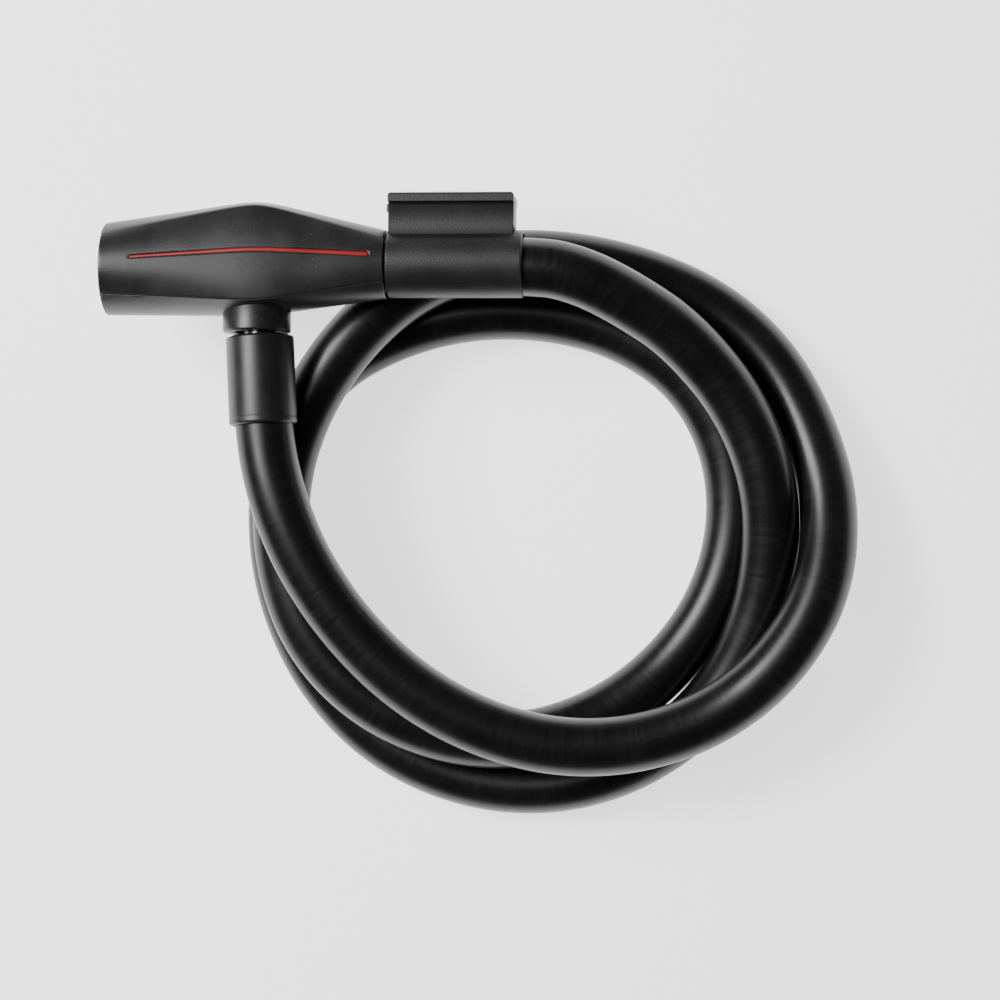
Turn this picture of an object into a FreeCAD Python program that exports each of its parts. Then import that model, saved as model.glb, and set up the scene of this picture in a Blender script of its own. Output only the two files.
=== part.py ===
import FreeCAD
import Part
import math
import os

# Keyed cable lock with a slip-on frame adapter. Millimetres.
# Frame: the origin is the centre of the round key face, +X runs along the lock head towards the
# fixed end of the cable, +Z is up from the table that the coil lies on. The head rests on its own
# coil, rolled a little about X, so the plug side stands slightly higher than the far side.

V = FreeCAD.Vector

# ---- cable ----
CABLE_D = 15.0            # sheathed cable
CORE_D = 8.0              # steel strand
CORE_GAP = 0.05           # radial, between the strand and its sheath
ARC_SHARE = 0.45          # share of the shorter run that a bend's tangent takes
LEAD_RUN = 15.0           # straight run out of the plug cap's grip

# ---- lie of the head ----
HEAD_ROLL = 3.0           # degrees, plug side up
PLUG_TILT = 3.0           # degrees, play of the plug in its socket

# ---- head covers ----
HEAD_LENGTH = 73.0
KEY_END_R = 11.7
CABLE_END_R = 8.3
RIDGE_X = 38.0
RIDGE_TOP = 16.4          # crown of the top, above the head axis
RIDGE_BOTTOM = 14.1       # lowest line of the underside, below the head axis
RIDGE_FRONT = 11.3        # half thickness, front to back
RIDGE_SOFTNESS = 0.075    # larger is a rounder ridge
RIDGE_ZONE = 0.4          # share of the shorter flank that the rounding takes
RIDGE_STEPS = 6           # sections each side of the ridge
TOP_CREASE = (14.9, 7.9)      # at the ridge: above the axis, out from the middle
BOTTOM_CREASE = (10.5, 11.0)  # at the ridge: below the axis, out from the middle
TOP_CREASE_ANGLE = 44.0       # at the round ends, from straight up
BOTTOM_CREASE_ANGLES = (45.0, 56.0)   # at the key end and the cable end, from straight down
COVER_WALL = 1.8
END_WALL = 2.0
SEAM_GAP = 0.06
FIT_GAP = 0.05            # radial gap of every running or seated round fit
BODY_GAP = 0.1            # between the covers and the die-cast body

# ---- key cylinder, all on the head axis ----
CORE_R = 5.0
CYL_CORE_START = 1.0
CYL_CORE_END = 26.5
BARREL_WALL = 1.45
BARREL_START = 2.1
BARREL_END = 26.9
FACE_RING_R = 8.6
FACE_RING_START = 0.5
KEYWAY_HEIGHT = 7.2
KEYWAY_WIDTH = 2.0
KEYWAY_END = 22.0
WAFER_COUNT = 5
WAFER_FIRST_X = 5.0
WAFER_PITCH = 3.0
WAFER_THICK = 0.9
WAFER_HEIGHT = 8.8
WAFER_WIDTH = 4.4
WAFER_WINDOW_HEIGHT = 5.6
WAFER_WINDOW_WIDTH = 2.4
WAFER_LUG_REACH = 1.4
WAFER_LUG_HEIGHT = 0.8
TUMBLER_SPRING_R = 0.5
TUMBLER_SPRING_LENGTH = 1.8
STOP_PIN_R = 0.9
STOP_PIN_X = 23.7
STOP_PIN_HEAD = 0.6       # past the barrel
STOP_GROOVE_R = 4.0
STOP_GROOVE_SPARE = 2.0   # degrees past each end of the turn
CORE_TURN = 90.0
SPRING_STANDOFF = 0.25    # between a tumbler's edge and its spring
FACE_BEVEL = (1.15, 1.0)  # width and depth of the bevel round the keyway's face

# ---- locking cam: a disc with a half-moon bar that turns into the plug pin's neck ----
CAM_DISC_R = 5.8
CAM_DISC_THICK = 2.0
CAM_START = 27.0
CAM_CHORD = 3.4           # flat side of the half-moon, from the head axis
CAM_TIP_GAP = 0.25        # between the bar's end and the neck
TENON_SIDE = 3.0
TENON_LENGTH = 1.9
TENON_SPARE = 0.1         # room behind the tenon
CHAMBER_GAP = 0.5         # all round the turning cam

# ---- plug and its socket ----
PLUG_X = 39.1             # where the plug axis meets the head axis
SOCKET_X = 39.3
SOCKET_R = 4.9
SOCKET_TOP = 10.0         # blind end, above the head axis
PIN_R = 4.0
PIN_TIP = 9.2             # above the head axis
PIN_TIP_CHAMFER = 1.2
NECK_R = 2.4
NECK_SPAN = (1.2, 6.2)    # along the pin, from the head axis
COLLAR_R = 8.8
COLLAR_REACH = 17.6       # below the head axis
COLLAR_SEAT = 9.0
COLLAR_BORE_R = 5.4
COLLAR_EDGE = 0.5
CAP_R = 8.5
CAP_GAP = 1.1             # between the collar and the cap's edge
CAP_LENGTH = 22.0
CAP_STEP_R = 7.4
CAP_STEP = 0.4
CAP_TOP_WALL = 1.8
CAP_EDGE = 1.0
PIN_FLANGE = 1.5
FERRULE_LENGTH = 8.0
FERRULE_R = 7.3
STRAND_SETBACK = 1.5      # from the pin's flange to the strand's end
STRAND_END_GAP = 0.1      # between a strand's end and its blind hole
CROSS_PIN_R = 1.0
CROSS_PIN_INSET = 0.3     # below the ferrule's surface

# ---- fixed end of the cable ----
SHEATH_SEAT = 6.0         # how far the sheath enters the head
FIXED_FERRULE_R = 5.2
FIXED_PIN_R = 1.2
FIXED_PIN_REACH = 1.0     # past the ferrule, each side
FERRULE_FLOOR = 1.5       # solid end of the fixed ferrule
STRAND_INSIDE = 11.5      # strand past the end of the sheath

# ---- slip-on frame adapter ----
ADAPTER_GAP = 0.4         # from the head's end
ADAPTER_LENGTH = 35.0
ADAPTER_WALL = 1.05
ADAPTER_EDGE = 0.6
ADAPTER_MOUTH = (5.0, 0.4)    # length and widening of the bore's mouth, where the cable bends away
TONGUE_INSET = 0.8
TONGUE_LENGTH = 32.6
TONGUE_TOP = 18.0         # above the sleeve's axis
TONGUE_PLATE = 2.5
TONGUE_WEB_HALF = 4.4
TONGUE_PLATE_HALF = 5.9
TONGUE_EDGE = 0.7
LATCH_NUB = (0.7, 2.0, 4.0)   # reach, height and width of the nub on the tongue's head-side end

# ---- accent strip let into the front cover ----
STRIP_START = 7.0
STRIP_END = 67.5
STRIP_WIDTH = 0.7
STRIP_HEIGHTS = (0.2, 1.2)    # above the head axis, carried on to both ends of the head
STRIP_RISE = 1.9          # what the ridge adds
STRIP_DEPTH = 0.5

# Route of the cable from the plug to the adapter, chosen by hand: the loose coil lies on the
# table, crosses over itself at the lower left and passes under the adapter at the top.
ROUTE = [
    (44.5, -61.5, 3.4), (51.2, -77.8, 3.2), (62.5, -94.0, 2.2), (77.5, -108.0, 1.0),
    (96.5, -118.6, -0.6), (117.5, -124.2, -2.4), (139.0, -123.4, -4.8), (159.0, -116.0, -7.0),
    (175.5, -102.0, -7.0), (186.0, -83.5, -10.6), (188.5, -62.0, -17.4), (184.0, -41.5, -22.6),
    (173.5, -23.5, -26.4), (158.0, -9.8, -27.6), (139.0, -1.2, -25.4), (118.0, 3.2, -20.9),
    (97.5, 2.9, -17.5), (78.0, -3.8, -15.8), (61.5, -18.2, -12.5), (50.0, -37.2, -12.6),
    (43.8, -58.0, -12.6), (44.2, -79.5, -12.6), (51.6, -98.8, -12.6), (66.5, -114.0, -13.2),
    (86.2, -123.2, -15.8), (107.5, -125.0, -19.0), (128.0, -118.4, -24.0), (145.0, -105.4, -27.6),
    (157.2, -87.5, -28.0), (163.2, -67.0, -28.0), (161.2, -46.2, -28.0), (151.0, -28.0, -28.0),
    (133.5, -16.0, -28.0), (113.2, -10.6, -28.0), (92.2, -10.7, -28.0), (72.0, -16.5, -28.0),
    (54.0, -27.6, -28.0), (43.2, -44.6, -28.0), (40.0, -65.5, -28.0), (43.0, -87.0, -28.0),
    (52.5, -107.6, -28.0), (68.0, -124.3, -28.0), (88.5, -134.9, -28.0), (111.0, -138.2, -28.0),
    (133.3, -133.0, -27.6), (152.5, -119.8, -25.0), (165.5, -101.0, -20.6), (171.5, -79.0, -16.2),
    (169.8, -56.8, -14.2), (161.2, -36.0, -12.8), (147.5, -18.8, -9.2), (135.0, -8.6, -4.6),
    (122.8, -2.6, -1.5), (110.5, 0.0, 0.0),
]

HEAD_TURN = FreeCAD.Placement(V(0, 0, 0), FreeCAD.Rotation(V(1, 0, 0), -HEAD_ROLL))
PLUG_TURN = FreeCAD.Placement(V(PLUG_X, 0, 0), FreeCAD.Rotation(V(0, 0, 1), PLUG_TILT))

CAP_TOP = COLLAR_REACH + CAP_GAP
CAP_END = CAP_TOP + CAP_LENGTH
FLANGE_TOP = CAP_TOP + CAP_TOP_WALL
FERRULE_TOP = FLANGE_TOP + PIN_FLANGE
SHEATH_START = FERRULE_TOP + FERRULE_LENGTH
STRAND_START = FERRULE_TOP + STRAND_SETBACK
SHEATH_END_X = HEAD_LENGTH - SHEATH_SEAT
STRAND_END_X = SHEATH_END_X - STRAND_INSIDE
ADAPTER_START = HEAD_LENGTH + ADAPTER_GAP
ADAPTER_END = ADAPTER_START + ADAPTER_LENGTH
ADAPTER_R = CABLE_D / 2 + FIT_GAP + ADAPTER_WALL
BARREL_R = CORE_R + FIT_GAP + BARREL_WALL
CAM_TIP = PLUG_X - NECK_SPAN[1] * math.tan(math.radians(PLUG_TILT)) - NECK_R - CAM_TIP_GAP


# ---------------------------------------------------------------- plain shapes
def rod(radius, start, end, axis, centre=(0.0, 0.0, 0.0)):
    """A round bar from start to end along axis 'x', 'y' or 'z', through centre."""
    direction = {"x": V(1, 0, 0), "y": V(0, 1, 0), "z": V(0, 0, 1)}[axis]
    base = V(*centre) + direction * start
    return Part.makeCylinder(radius, end - start, base, direction)


def tube(outer, inner, start, end, axis, centre=(0.0, 0.0, 0.0)):
    """A round tube along an axis."""
    return rod(outer, start, end, axis, centre).cut(rod(inner, start - 1, end + 1, axis, centre))


def block(x, y, z):
    """A box from three (low, high) pairs."""
    return Part.makeBox(x[1] - x[0], y[1] - y[0], z[1] - z[0], V(x[0], y[0], z[0]))


def round_edges(shape, radius, wanted):
    """Fillets the edges that the test picks."""
    return shape.makeFillet(radius, [edge for edge in shape.Edges if wanted(edge)])


def is_circle_at(edge, axis, place, radius):
    """True for a full circle of that radius whose centre lies at place along the axis."""
    if not isinstance(edge.Curve, Part.Circle) or abs(edge.Curve.Radius - radius) > 1e-3:
        return False
    return abs(getattr(edge.Curve.Center, axis) - place) < 1e-3


# ---------------------------------------------------------------- head form
def ridge_share(x):
    """0 at both round ends of the head and nearly 1 at its ridge, with a soft top."""
    left = x / RIDGE_X
    right = (HEAD_LENGTH - x) / (HEAD_LENGTH - RIDGE_X)
    k = RIDGE_SOFTNESS
    return -k * math.log(math.exp(-left / k) + math.exp(-right / k))


def end_radius(x):
    """The round section's radius, which falls evenly from the key end to the cable end."""
    return KEY_END_R + (CABLE_END_R - KEY_END_R) * x / HEAD_LENGTH


def low_crease_angle(x):
    """Place of the lower creases on the round section, in degrees from straight up."""
    key_end, cable_end = BOTTOM_CREASE_ANGLES
    return 180 - key_end - (cable_end - key_end) * x / HEAD_LENGTH


def section_point(x, angle, ridge, inset):
    """One point of the section at x: on the round at the ends, at 'ridge' on the ridge."""
    direction = (math.cos(math.radians(angle)), math.sin(math.radians(angle)))
    share = ridge_share(x)
    y = end_radius(x) * direction[0]
    z = end_radius(x) * direction[1]
    y += share * (ridge[0] - end_radius(RIDGE_X) * direction[0])
    z += share * (ridge[1] - end_radius(RIDGE_X) * direction[1])
    keep = 1 - inset / math.hypot(y, z)
    return V(x, y * keep, z * keep)


def head_section(x, inset):
    """Closed section of the head at x: front, underside, back and top, each one arc."""
    top_angle = TOP_CREASE_ANGLE
    low_angle = low_crease_angle(x)
    mid_angle = (top_angle + low_angle) / 2
    mid_y = (TOP_CREASE[0] - BOTTOM_CREASE[0]) / 2
    corners = []
    for side in (1, -1):
        corners.append([
            section_point(x, side * top_angle, (TOP_CREASE[0], side * TOP_CREASE[1]), inset),
            section_point(x, side * mid_angle, (mid_y, side * RIDGE_FRONT), inset),
            section_point(x, side * low_angle, (-BOTTOM_CREASE[0], side * BOTTOM_CREASE[1]), inset),
        ])
    (front_top, front_mid, front_low), (back_top, back_mid, back_low) = corners
    crown = section_point(x, 0, (RIDGE_TOP, 0), inset)
    keel = section_point(x, 180, (-RIDGE_BOTTOM, 0), inset)
    arcs = [(front_top, front_mid, front_low), (front_low, keel, back_low),
            (back_low, back_mid, back_top), (back_top, crown, front_top)]
    return Part.Wire([Part.Arc(*points).toShape() for points in arcs])


def stations():
    """Section places along the head: both ends, and close together over the soft ridge."""
    reach = RIDGE_ZONE * min(RIDGE_X, HEAD_LENGTH - RIDGE_X)
    shares = [step / RIDGE_STEPS for step in range(-RIDGE_STEPS, RIDGE_STEPS + 1)]
    return [0.0] + [RIDGE_X + reach * share for share in shares] + [HEAD_LENGTH]


def head_form(inset, start, end):
    """The head's outer form, drawn in by inset and cut to start..end."""
    form = Part.makeLoft([head_section(x, inset) for x in stations()], True, True)
    if start <= 0 and end >= HEAD_LENGTH:
        return form
    reach = 2 * RIDGE_TOP
    return form.common(block((start, end), (-reach, reach), (-reach, reach)))


def front_zone(gap):
    """The space in front of the seam: above the lower front crease and before the top centre line."""
    crease = [section_point(x, low_crease_angle(x), (-BOTTOM_CREASE[0], BOTTOM_CREASE[1]), 0)
              for x in stations()]
    edge = [V(point.x, point.y + gap, gap) for point in crease]
    edge[0].x = -1
    edge[-1].x = HEAD_LENGTH + 1
    top = 2 * RIDGE_TOP
    outline = edge + [V(HEAD_LENGTH + 1, top, gap), V(-1, top, gap), edge[0]]
    return Part.Face(Part.makePolygon(outline)).extrude(V(0, 0, top))


def head_shell():
    """Both covers as one wall, open for the key cylinder, the socket collar and the cable."""
    shell = head_form(0, 0, HEAD_LENGTH).cut(head_form(COVER_WALL, END_WALL, SHEATH_END_X))
    shell = shell.cut(rod(FACE_RING_R + FIT_GAP, -1, END_WALL + 1, "x"))
    shell = shell.cut(rod(COLLAR_R + FIT_GAP, -2 * RIDGE_TOP, -COLLAR_SEAT, "y", (SOCKET_X, 0, 0)))
    return shell.cut(rod(CABLE_D / 2 + FIT_GAP, SHEATH_END_X - 0.2, HEAD_LENGTH + 1, "x"))


def strip_zone():
    """A thin wedge that follows the strip's line along the front of the head."""
    places = [STRIP_START] + [x for x in stations() if STRIP_START < x < STRIP_END] + [STRIP_END]
    upper = []
    lower = []
    for x in places:
        start, end = STRIP_HEIGHTS
        middle = start + (end - start) * x / HEAD_LENGTH + STRIP_RISE * ridge_share(x)
        upper.append(V(x, middle + STRIP_WIDTH / 2, 0.5))
        lower.append(V(x, middle - STRIP_WIDTH / 2, 0.5))
    outline = upper + lower[::-1] + upper[:1]
    return Part.Face(Part.makePolygon(outline)).extrude(V(0, 0, 2 * RIDGE_TOP))


def covers():
    """Rear cover with the underside, front cover, and the coloured strip let into the front."""
    shell = head_shell()
    rear = shell.cut(front_zone(0))
    front = shell.common(front_zone(SEAM_GAP))
    skin = head_form(0, 0, HEAD_LENGTH).cut(head_form(STRIP_DEPTH, 0, HEAD_LENGTH))
    strip = skin.common(strip_zone())
    return rear, front.cut(strip), strip


# ---------------------------------------------------------------- key cylinder
def wafer_places():
    return [WAFER_FIRST_X + WAFER_PITCH * index for index in range(WAFER_COUNT)]


def spring_side():
    """How far out from the keyway the tumbler springs stand."""
    return WAFER_WIDTH / 2 + TUMBLER_SPRING_R + SPRING_STANDOFF


def lug_base():
    return -WAFER_LUG_HEIGHT / 2


def cylinder_core():
    core = rod(CORE_R, CYL_CORE_START, CYL_CORE_END, "x")
    half_h = KEYWAY_HEIGHT / 2
    half_w = KEYWAY_WIDTH / 2
    core = core.cut(block((CYL_CORE_START - 1, KEYWAY_END), (-half_h, half_h), (-half_w, half_w)))
    gap = FIT_GAP
    for x in wafer_places():
        along = (x - gap, x + WAFER_THICK + gap)
        wide = WAFER_WIDTH / 2 + gap
        core = core.cut(block(along, (-CORE_R - 1, CORE_R + 1), (-wide, wide)))
        lug = WAFER_WIDTH / 2 + WAFER_LUG_REACH + gap
        core = core.cut(block(along, (lug_base(), WAFER_LUG_HEIGHT), (0, lug)))
        spot = (x + WAFER_THICK / 2, 0, spring_side())
        pocket = rod(TUMBLER_SPRING_R + gap, lug_base() - TUMBLER_SPRING_LENGTH, lug_base(), "y", spot)
        core = core.cut(pocket)
    tenon = TENON_SIDE / 2 + gap
    core = core.cut(block((CYL_CORE_END - TENON_LENGTH, CYL_CORE_END + 1), (-tenon, tenon), (-tenon, tenon)))
    return core.cut(stop_groove())


def stop_groove():
    """Part-turn groove that the stop pin runs in, as wide as the turn and the pin need."""
    half = STOP_PIN_R + FIT_GAP
    spare = math.degrees(math.asin(half / STOP_GROOVE_R)) + STOP_GROOVE_SPARE
    profile = Part.makePlane(2 * half, CORE_R, V(STOP_PIN_X - half, STOP_GROOVE_R, 0), V(0, 0, 1))
    profile.rotate(V(0, 0, 0), V(1, 0, 0), -90 - CORE_TURN - spare)
    return profile.revolve(V(0, 0, 0), V(1, 0, 0), CORE_TURN + 2 * spare)


def stop_pin():
    return rod(STOP_PIN_R, -BARREL_R - STOP_PIN_HEAD, -STOP_GROOVE_R - FIT_GAP, "z", (STOP_PIN_X, 0, 0))


def barrel():
    body = tube(BARREL_R, CORE_R + FIT_GAP, BARREL_START, BARREL_END, "x")
    return body.cut(rod(STOP_PIN_R + FIT_GAP, -BARREL_R - 2, 0, "z", (STOP_PIN_X, 0, 0)))


def face_ring():
    ring = tube(FACE_RING_R, CORE_R + FIT_GAP, FACE_RING_START, END_WALL, "x")
    width, depth = FACE_BEVEL
    inner = CORE_R + FIT_GAP
    bevel = Part.makeCone(inner + width, inner, depth, V(FACE_RING_START, 0, 0), V(1, 0, 0))
    return ring.cut(bevel)


def wafers():
    """The flat tumblers, each with a window for the key and a lug over its spring."""
    pieces = []
    for x in wafer_places():
        along = (x, x + WAFER_THICK)
        half_h = WAFER_HEIGHT / 2
        half_w = WAFER_WIDTH / 2
        wafer = block(along, (-half_h, half_h), (-half_w, half_w))
        lug_top = WAFER_LUG_HEIGHT - FIT_GAP
        lug = block(along, (lug_base() + FIT_GAP, lug_top), (0, half_w + WAFER_LUG_REACH))
        window_h = WAFER_WINDOW_HEIGHT / 2
        window_w = WAFER_WINDOW_WIDTH / 2
        window = block((x - 1, x + WAFER_THICK + 1), (-window_h, window_h), (-window_w, window_w))
        pieces.append(wafer.fuse(lug).cut(window))
    return Part.makeCompound(pieces)


def tumbler_springs():
    """Each spring as a short sleeve of its own outer size."""
    pieces = []
    for x in wafer_places():
        spot = (x + WAFER_THICK / 2, 0, spring_side())
        end = lug_base() - FIT_GAP
        start = end - TUMBLER_SPRING_LENGTH + 2 * FIT_GAP
        pieces.append(tube(TUMBLER_SPRING_R, TUMBLER_SPRING_R / 2, start, end, "y", spot))
    return Part.makeCompound(pieces)


def locking_cam():
    """Disc on the core's tail, with a square tenon and the half-moon bar that holds the plug pin."""
    disc_end = CAM_START + CAM_DISC_THICK
    half = TENON_SIDE / 2
    tenon_start = CYL_CORE_END - TENON_LENGTH + TENON_SPARE
    tenon = block((tenon_start, CAM_START), (-half, half), (-half, half))
    bar = rod(CAM_DISC_R, disc_end, CAM_TIP, "x")
    bar = bar.common(block((disc_end, CAM_TIP), (-CAM_DISC_R, CAM_DISC_R), (-CAM_DISC_R, -CAM_CHORD)))
    return rod(CAM_DISC_R, CAM_START, disc_end, "x").fuse([tenon, bar])


# ---------------------------------------------------------------- plug (local: +X right, -Y outwards)
def plug_pin():
    pin = rod(PIN_R, -FLANGE_TOP, PIN_TIP, "y")
    pin = pin.makeChamfer(PIN_TIP_CHAMFER, [e for e in pin.Edges if is_circle_at(e, "y", PIN_TIP, PIN_R)])
    low, high = NECK_SPAN
    pin = pin.cut(rod(PIN_R + 1, low, high, "y").cut(rod(NECK_R, low - 1, high + 1, "y")))
    return pin.fuse(rod(FERRULE_R, -FERRULE_TOP, -FLANGE_TOP, "y"))


def plug_cap():
    """Moulded cap: a stepped top round the pin, and a cup over the ferrule and the sheath."""
    cap = rod(CAP_R, -CAP_END, -CAP_TOP, "y")
    cap = round_edges(cap, CAP_EDGE, lambda e: is_circle_at(e, "y", -CAP_END, CAP_R))
    cap = round_edges(cap, COLLAR_EDGE, lambda e: is_circle_at(e, "y", -CAP_TOP, CAP_R))
    cap = cap.fuse(rod(CAP_STEP_R, -CAP_TOP - 1, -CAP_TOP + CAP_STEP, "y"))
    cap = cap.cut(rod(PIN_R + FIT_GAP, -CAP_END, 0, "y"))
    cap = cap.cut(rod(FERRULE_R + FIT_GAP, -SHEATH_START, -FLANGE_TOP, "y"))
    return cap.cut(rod(CABLE_D / 2 + FIT_GAP, -CAP_END - 1, -SHEATH_START, "y"))


def plug_ferrule():
    ferrule = rod(FERRULE_R, -SHEATH_START, -FERRULE_TOP, "y")
    bore_end = -STRAND_START + STRAND_END_GAP
    ferrule = ferrule.cut(rod(CORE_D / 2 + FIT_GAP, -SHEATH_START - 1, bore_end, "y"))
    return ferrule.cut(cross_pin(FIT_GAP))


def cross_pin(gap):
    """Pin through the ferrule and the strand; with a gap, the hole for it, open at both ends."""
    middle = (STRAND_START + SHEATH_START) / 2
    reach = FERRULE_R + 1 if gap else FERRULE_R - CROSS_PIN_INSET
    return rod(CROSS_PIN_R + gap, -reach, reach, "z", (0, -middle, 0))


def socket_collar():
    collar = rod(COLLAR_R, -COLLAR_REACH, -COLLAR_SEAT, "y", (SOCKET_X, 0, 0))
    collar = round_edges(collar, COLLAR_EDGE, lambda e: is_circle_at(e, "y", -COLLAR_REACH, COLLAR_R))
    return collar.cut(rod(COLLAR_BORE_R, -COLLAR_REACH - 1, 0, "y", (SOCKET_X, 0, 0)))


# ---------------------------------------------------------------- body and fixed end
def fixed_pin(gap):
    """Pin through the body, the ferrule and the strand; with a gap, the hole for it."""
    middle = STRAND_END_X + STRAND_INSIDE / 2
    reach = FIXED_FERRULE_R + FIXED_PIN_REACH + gap
    return rod(FIXED_PIN_R + gap, -reach, reach, "z", (middle, 0, 0))


def fixed_ferrule():
    start = STRAND_END_X - FERRULE_FLOOR
    ferrule = rod(FIXED_FERRULE_R, start, SHEATH_END_X - BODY_GAP, "x")
    ferrule = ferrule.cut(rod(CORE_D / 2 + FIT_GAP, STRAND_END_X - STRAND_END_GAP, HEAD_LENGTH, "x"))
    return ferrule.cut(fixed_pin(FIT_GAP))


def lock_body():
    """Die-cast body that fills the covers and holds the cylinder, the plate, the socket and the cable."""
    start = END_WALL + BODY_GAP
    body = head_form(COVER_WALL + BODY_GAP, start, SHEATH_END_X - BODY_GAP)
    body = body.cut(rod(BARREL_R + FIT_GAP, 0, BARREL_END + FIT_GAP, "x"))
    body = body.cut(rod(CAM_DISC_R + CHAMBER_GAP, BARREL_END, CAM_TIP + CHAMBER_GAP, "x"))
    body = body.cut(rod(SOCKET_R, -2 * RIDGE_TOP, SOCKET_TOP, "y", (SOCKET_X, 0, 0)))
    body = body.cut(rod(COLLAR_R + FIT_GAP, -2 * RIDGE_TOP, -COLLAR_SEAT + FIT_GAP, "y", (SOCKET_X, 0, 0)))
    ferrule_start = STRAND_END_X - FERRULE_FLOOR - FIT_GAP
    body = body.cut(rod(FIXED_FERRULE_R + FIT_GAP, ferrule_start, HEAD_LENGTH, "x"))
    body = body.cut(fixed_pin(FIT_GAP))
    pin_end = -BARREL_R - STOP_PIN_HEAD - FIT_GAP
    return body.cut(rod(STOP_PIN_R + FIT_GAP, pin_end, 0, "z", (STOP_PIN_X, 0, 0)))


# ---------------------------------------------------------------- frame adapter
def frame_adapter():
    """One moulding: a sleeve that slips over the cable, and the tongue that a frame bracket takes."""
    sleeve = rod(ADAPTER_R, ADAPTER_START, ADAPTER_END, "x")
    sleeve = round_edges(sleeve, ADAPTER_EDGE, lambda e: is_circle_at(e, "x", ADAPTER_END, ADAPTER_R))
    start = ADAPTER_START + TONGUE_INSET
    along = (start, start + TONGUE_LENGTH)
    web = block(along, (0, TONGUE_TOP - TONGUE_PLATE), (-TONGUE_WEB_HALF, TONGUE_WEB_HALF))
    plate = block(along, (TONGUE_TOP - TONGUE_PLATE, TONGUE_TOP), (-TONGUE_PLATE_HALF, TONGUE_PLATE_HALF))
    plate = round_edges(plate, TONGUE_EDGE, lambda e: e.BoundBox.YMin > TONGUE_TOP - 0.01)
    reach, height, width = LATCH_NUB
    nub_top = TONGUE_TOP - TONGUE_PLATE
    nub = block((start - reach, start + 1), (nub_top - height, nub_top), (-width / 2, width / 2))
    bore_r = CABLE_D / 2 + FIT_GAP
    length, widening = ADAPTER_MOUTH
    mouth = Part.makeCone(bore_r, bore_r + widening, length, V(ADAPTER_END - length, 0, 0), V(1, 0, 0))
    bore = rod(bore_r, ADAPTER_START - 1, ADAPTER_END + 1, "x").fuse(mouth)
    return sleeve.fuse([web, plate, nub]).cut(bore)


# ---------------------------------------------------------------- cable
def plug_point(distance):
    """A point on the plug's axis, that far out from the head axis, as the head lies."""
    return HEAD_TURN.multVec(PLUG_TURN.multVec(V(0, -distance, 0)))


def cable_points():
    """The route, from the sheath's end in the plug cap to its end in the head."""
    lead = [plug_point(SHEATH_START), plug_point(SHEATH_START + LEAD_RUN)]
    return lead + [V(*point) for point in ROUTE] + [V(SHEATH_END_X, 0, 0)]


def cable_path(points):
    """Straight runs joined by tangent arcs, each as large as its two runs allow."""
    edges = []
    radii = []
    last = points[0]
    for index in range(1, len(points) - 1):
        before = points[index] - points[index - 1]
        after = points[index + 1] - points[index]
        turn = before.getAngle(after)
        tangent = ARC_SHARE * min(before.Length, after.Length)
        radius = tangent / math.tan(turn / 2)
        inward = V(after).normalize() - V(before).normalize()
        inward.normalize()
        start = points[index] - V(before).normalize() * tangent
        end = points[index] + V(after).normalize() * tangent
        middle = points[index] + inward * (radius / math.cos(turn / 2) - radius)
        edges.append(Part.LineSegment(last, start).toShape())
        edges.append(Part.Arc(start, middle, end).toShape())
        radii.append(radius)
        last = end
    edges.append(Part.LineSegment(last, points[-1]).toShape())
    return edges, radii


def sweep(edges, radius, inner=0.0):
    """A round bar or tube along the path."""
    path = Part.Wire(edges)
    start = edges[0].valueAt(edges[0].FirstParameter)
    direction = edges[0].tangentAt(edges[0].FirstParameter)
    bar = path.makePipeShell([Part.Wire(Part.makeCircle(radius, start, direction))], True, False)
    if not inner:
        return bar
    return bar.cut(path.makePipeShell([Part.Wire(Part.makeCircle(inner, start, direction))], True, False))


def cable():
    """Hollow sheath, and the steel strand that runs on past it into both ferrules."""
    points = cable_points()
    edges, radii = cable_path(points)
    sheath = sweep(edges, CABLE_D / 2, CORE_D / 2 + CORE_GAP)
    plug_end = Part.LineSegment(plug_point(STRAND_START), points[0]).toShape()
    head_end = Part.LineSegment(points[-1], V(STRAND_END_X, 0, 0)).toShape()
    strand_edges = [plug_end] + edges + [head_end]
    strand = sweep(strand_edges, CORE_D / 2)
    cut = in_plug([cross_pin(FIT_GAP)])[0].fuse(in_head([fixed_pin(FIT_GAP)])[0])
    strand = strand.cut(cut)
    length = sum(edge.Length for edge in edges)
    section = math.pi * ((CABLE_D / 2) ** 2 - (CORE_D / 2 + CORE_GAP) ** 2)
    print("cable sheath length", round(length, 1), "volume / (section x length)",
          round(sheath.Volume / (section * length), 4))
    print("bend radii", [round(radius) for radius in radii])
    runs = [(b - a).Length for a, b in zip(points, points[1:])]
    print("runs", [round(run, 1) for run in runs])
    return sheath, strand


# ---------------------------------------------------------------- placing and writing
def in_head(shapes):
    """Rolls head pieces to the way the head lies."""
    placed = []
    for shape in shapes:
        copy = shape.copy()
        copy.Placement = HEAD_TURN.multiply(copy.Placement)
        placed.append(copy)
    return placed


def in_plug(shapes):
    """Tilts plug pieces in the socket, then rolls them with the head."""
    tilted = []
    for shape in shapes:
        copy = shape.copy()
        copy.Placement = PLUG_TURN.multiply(copy.Placement)
        tilted.append(copy)
    return in_head(tilted)


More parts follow.
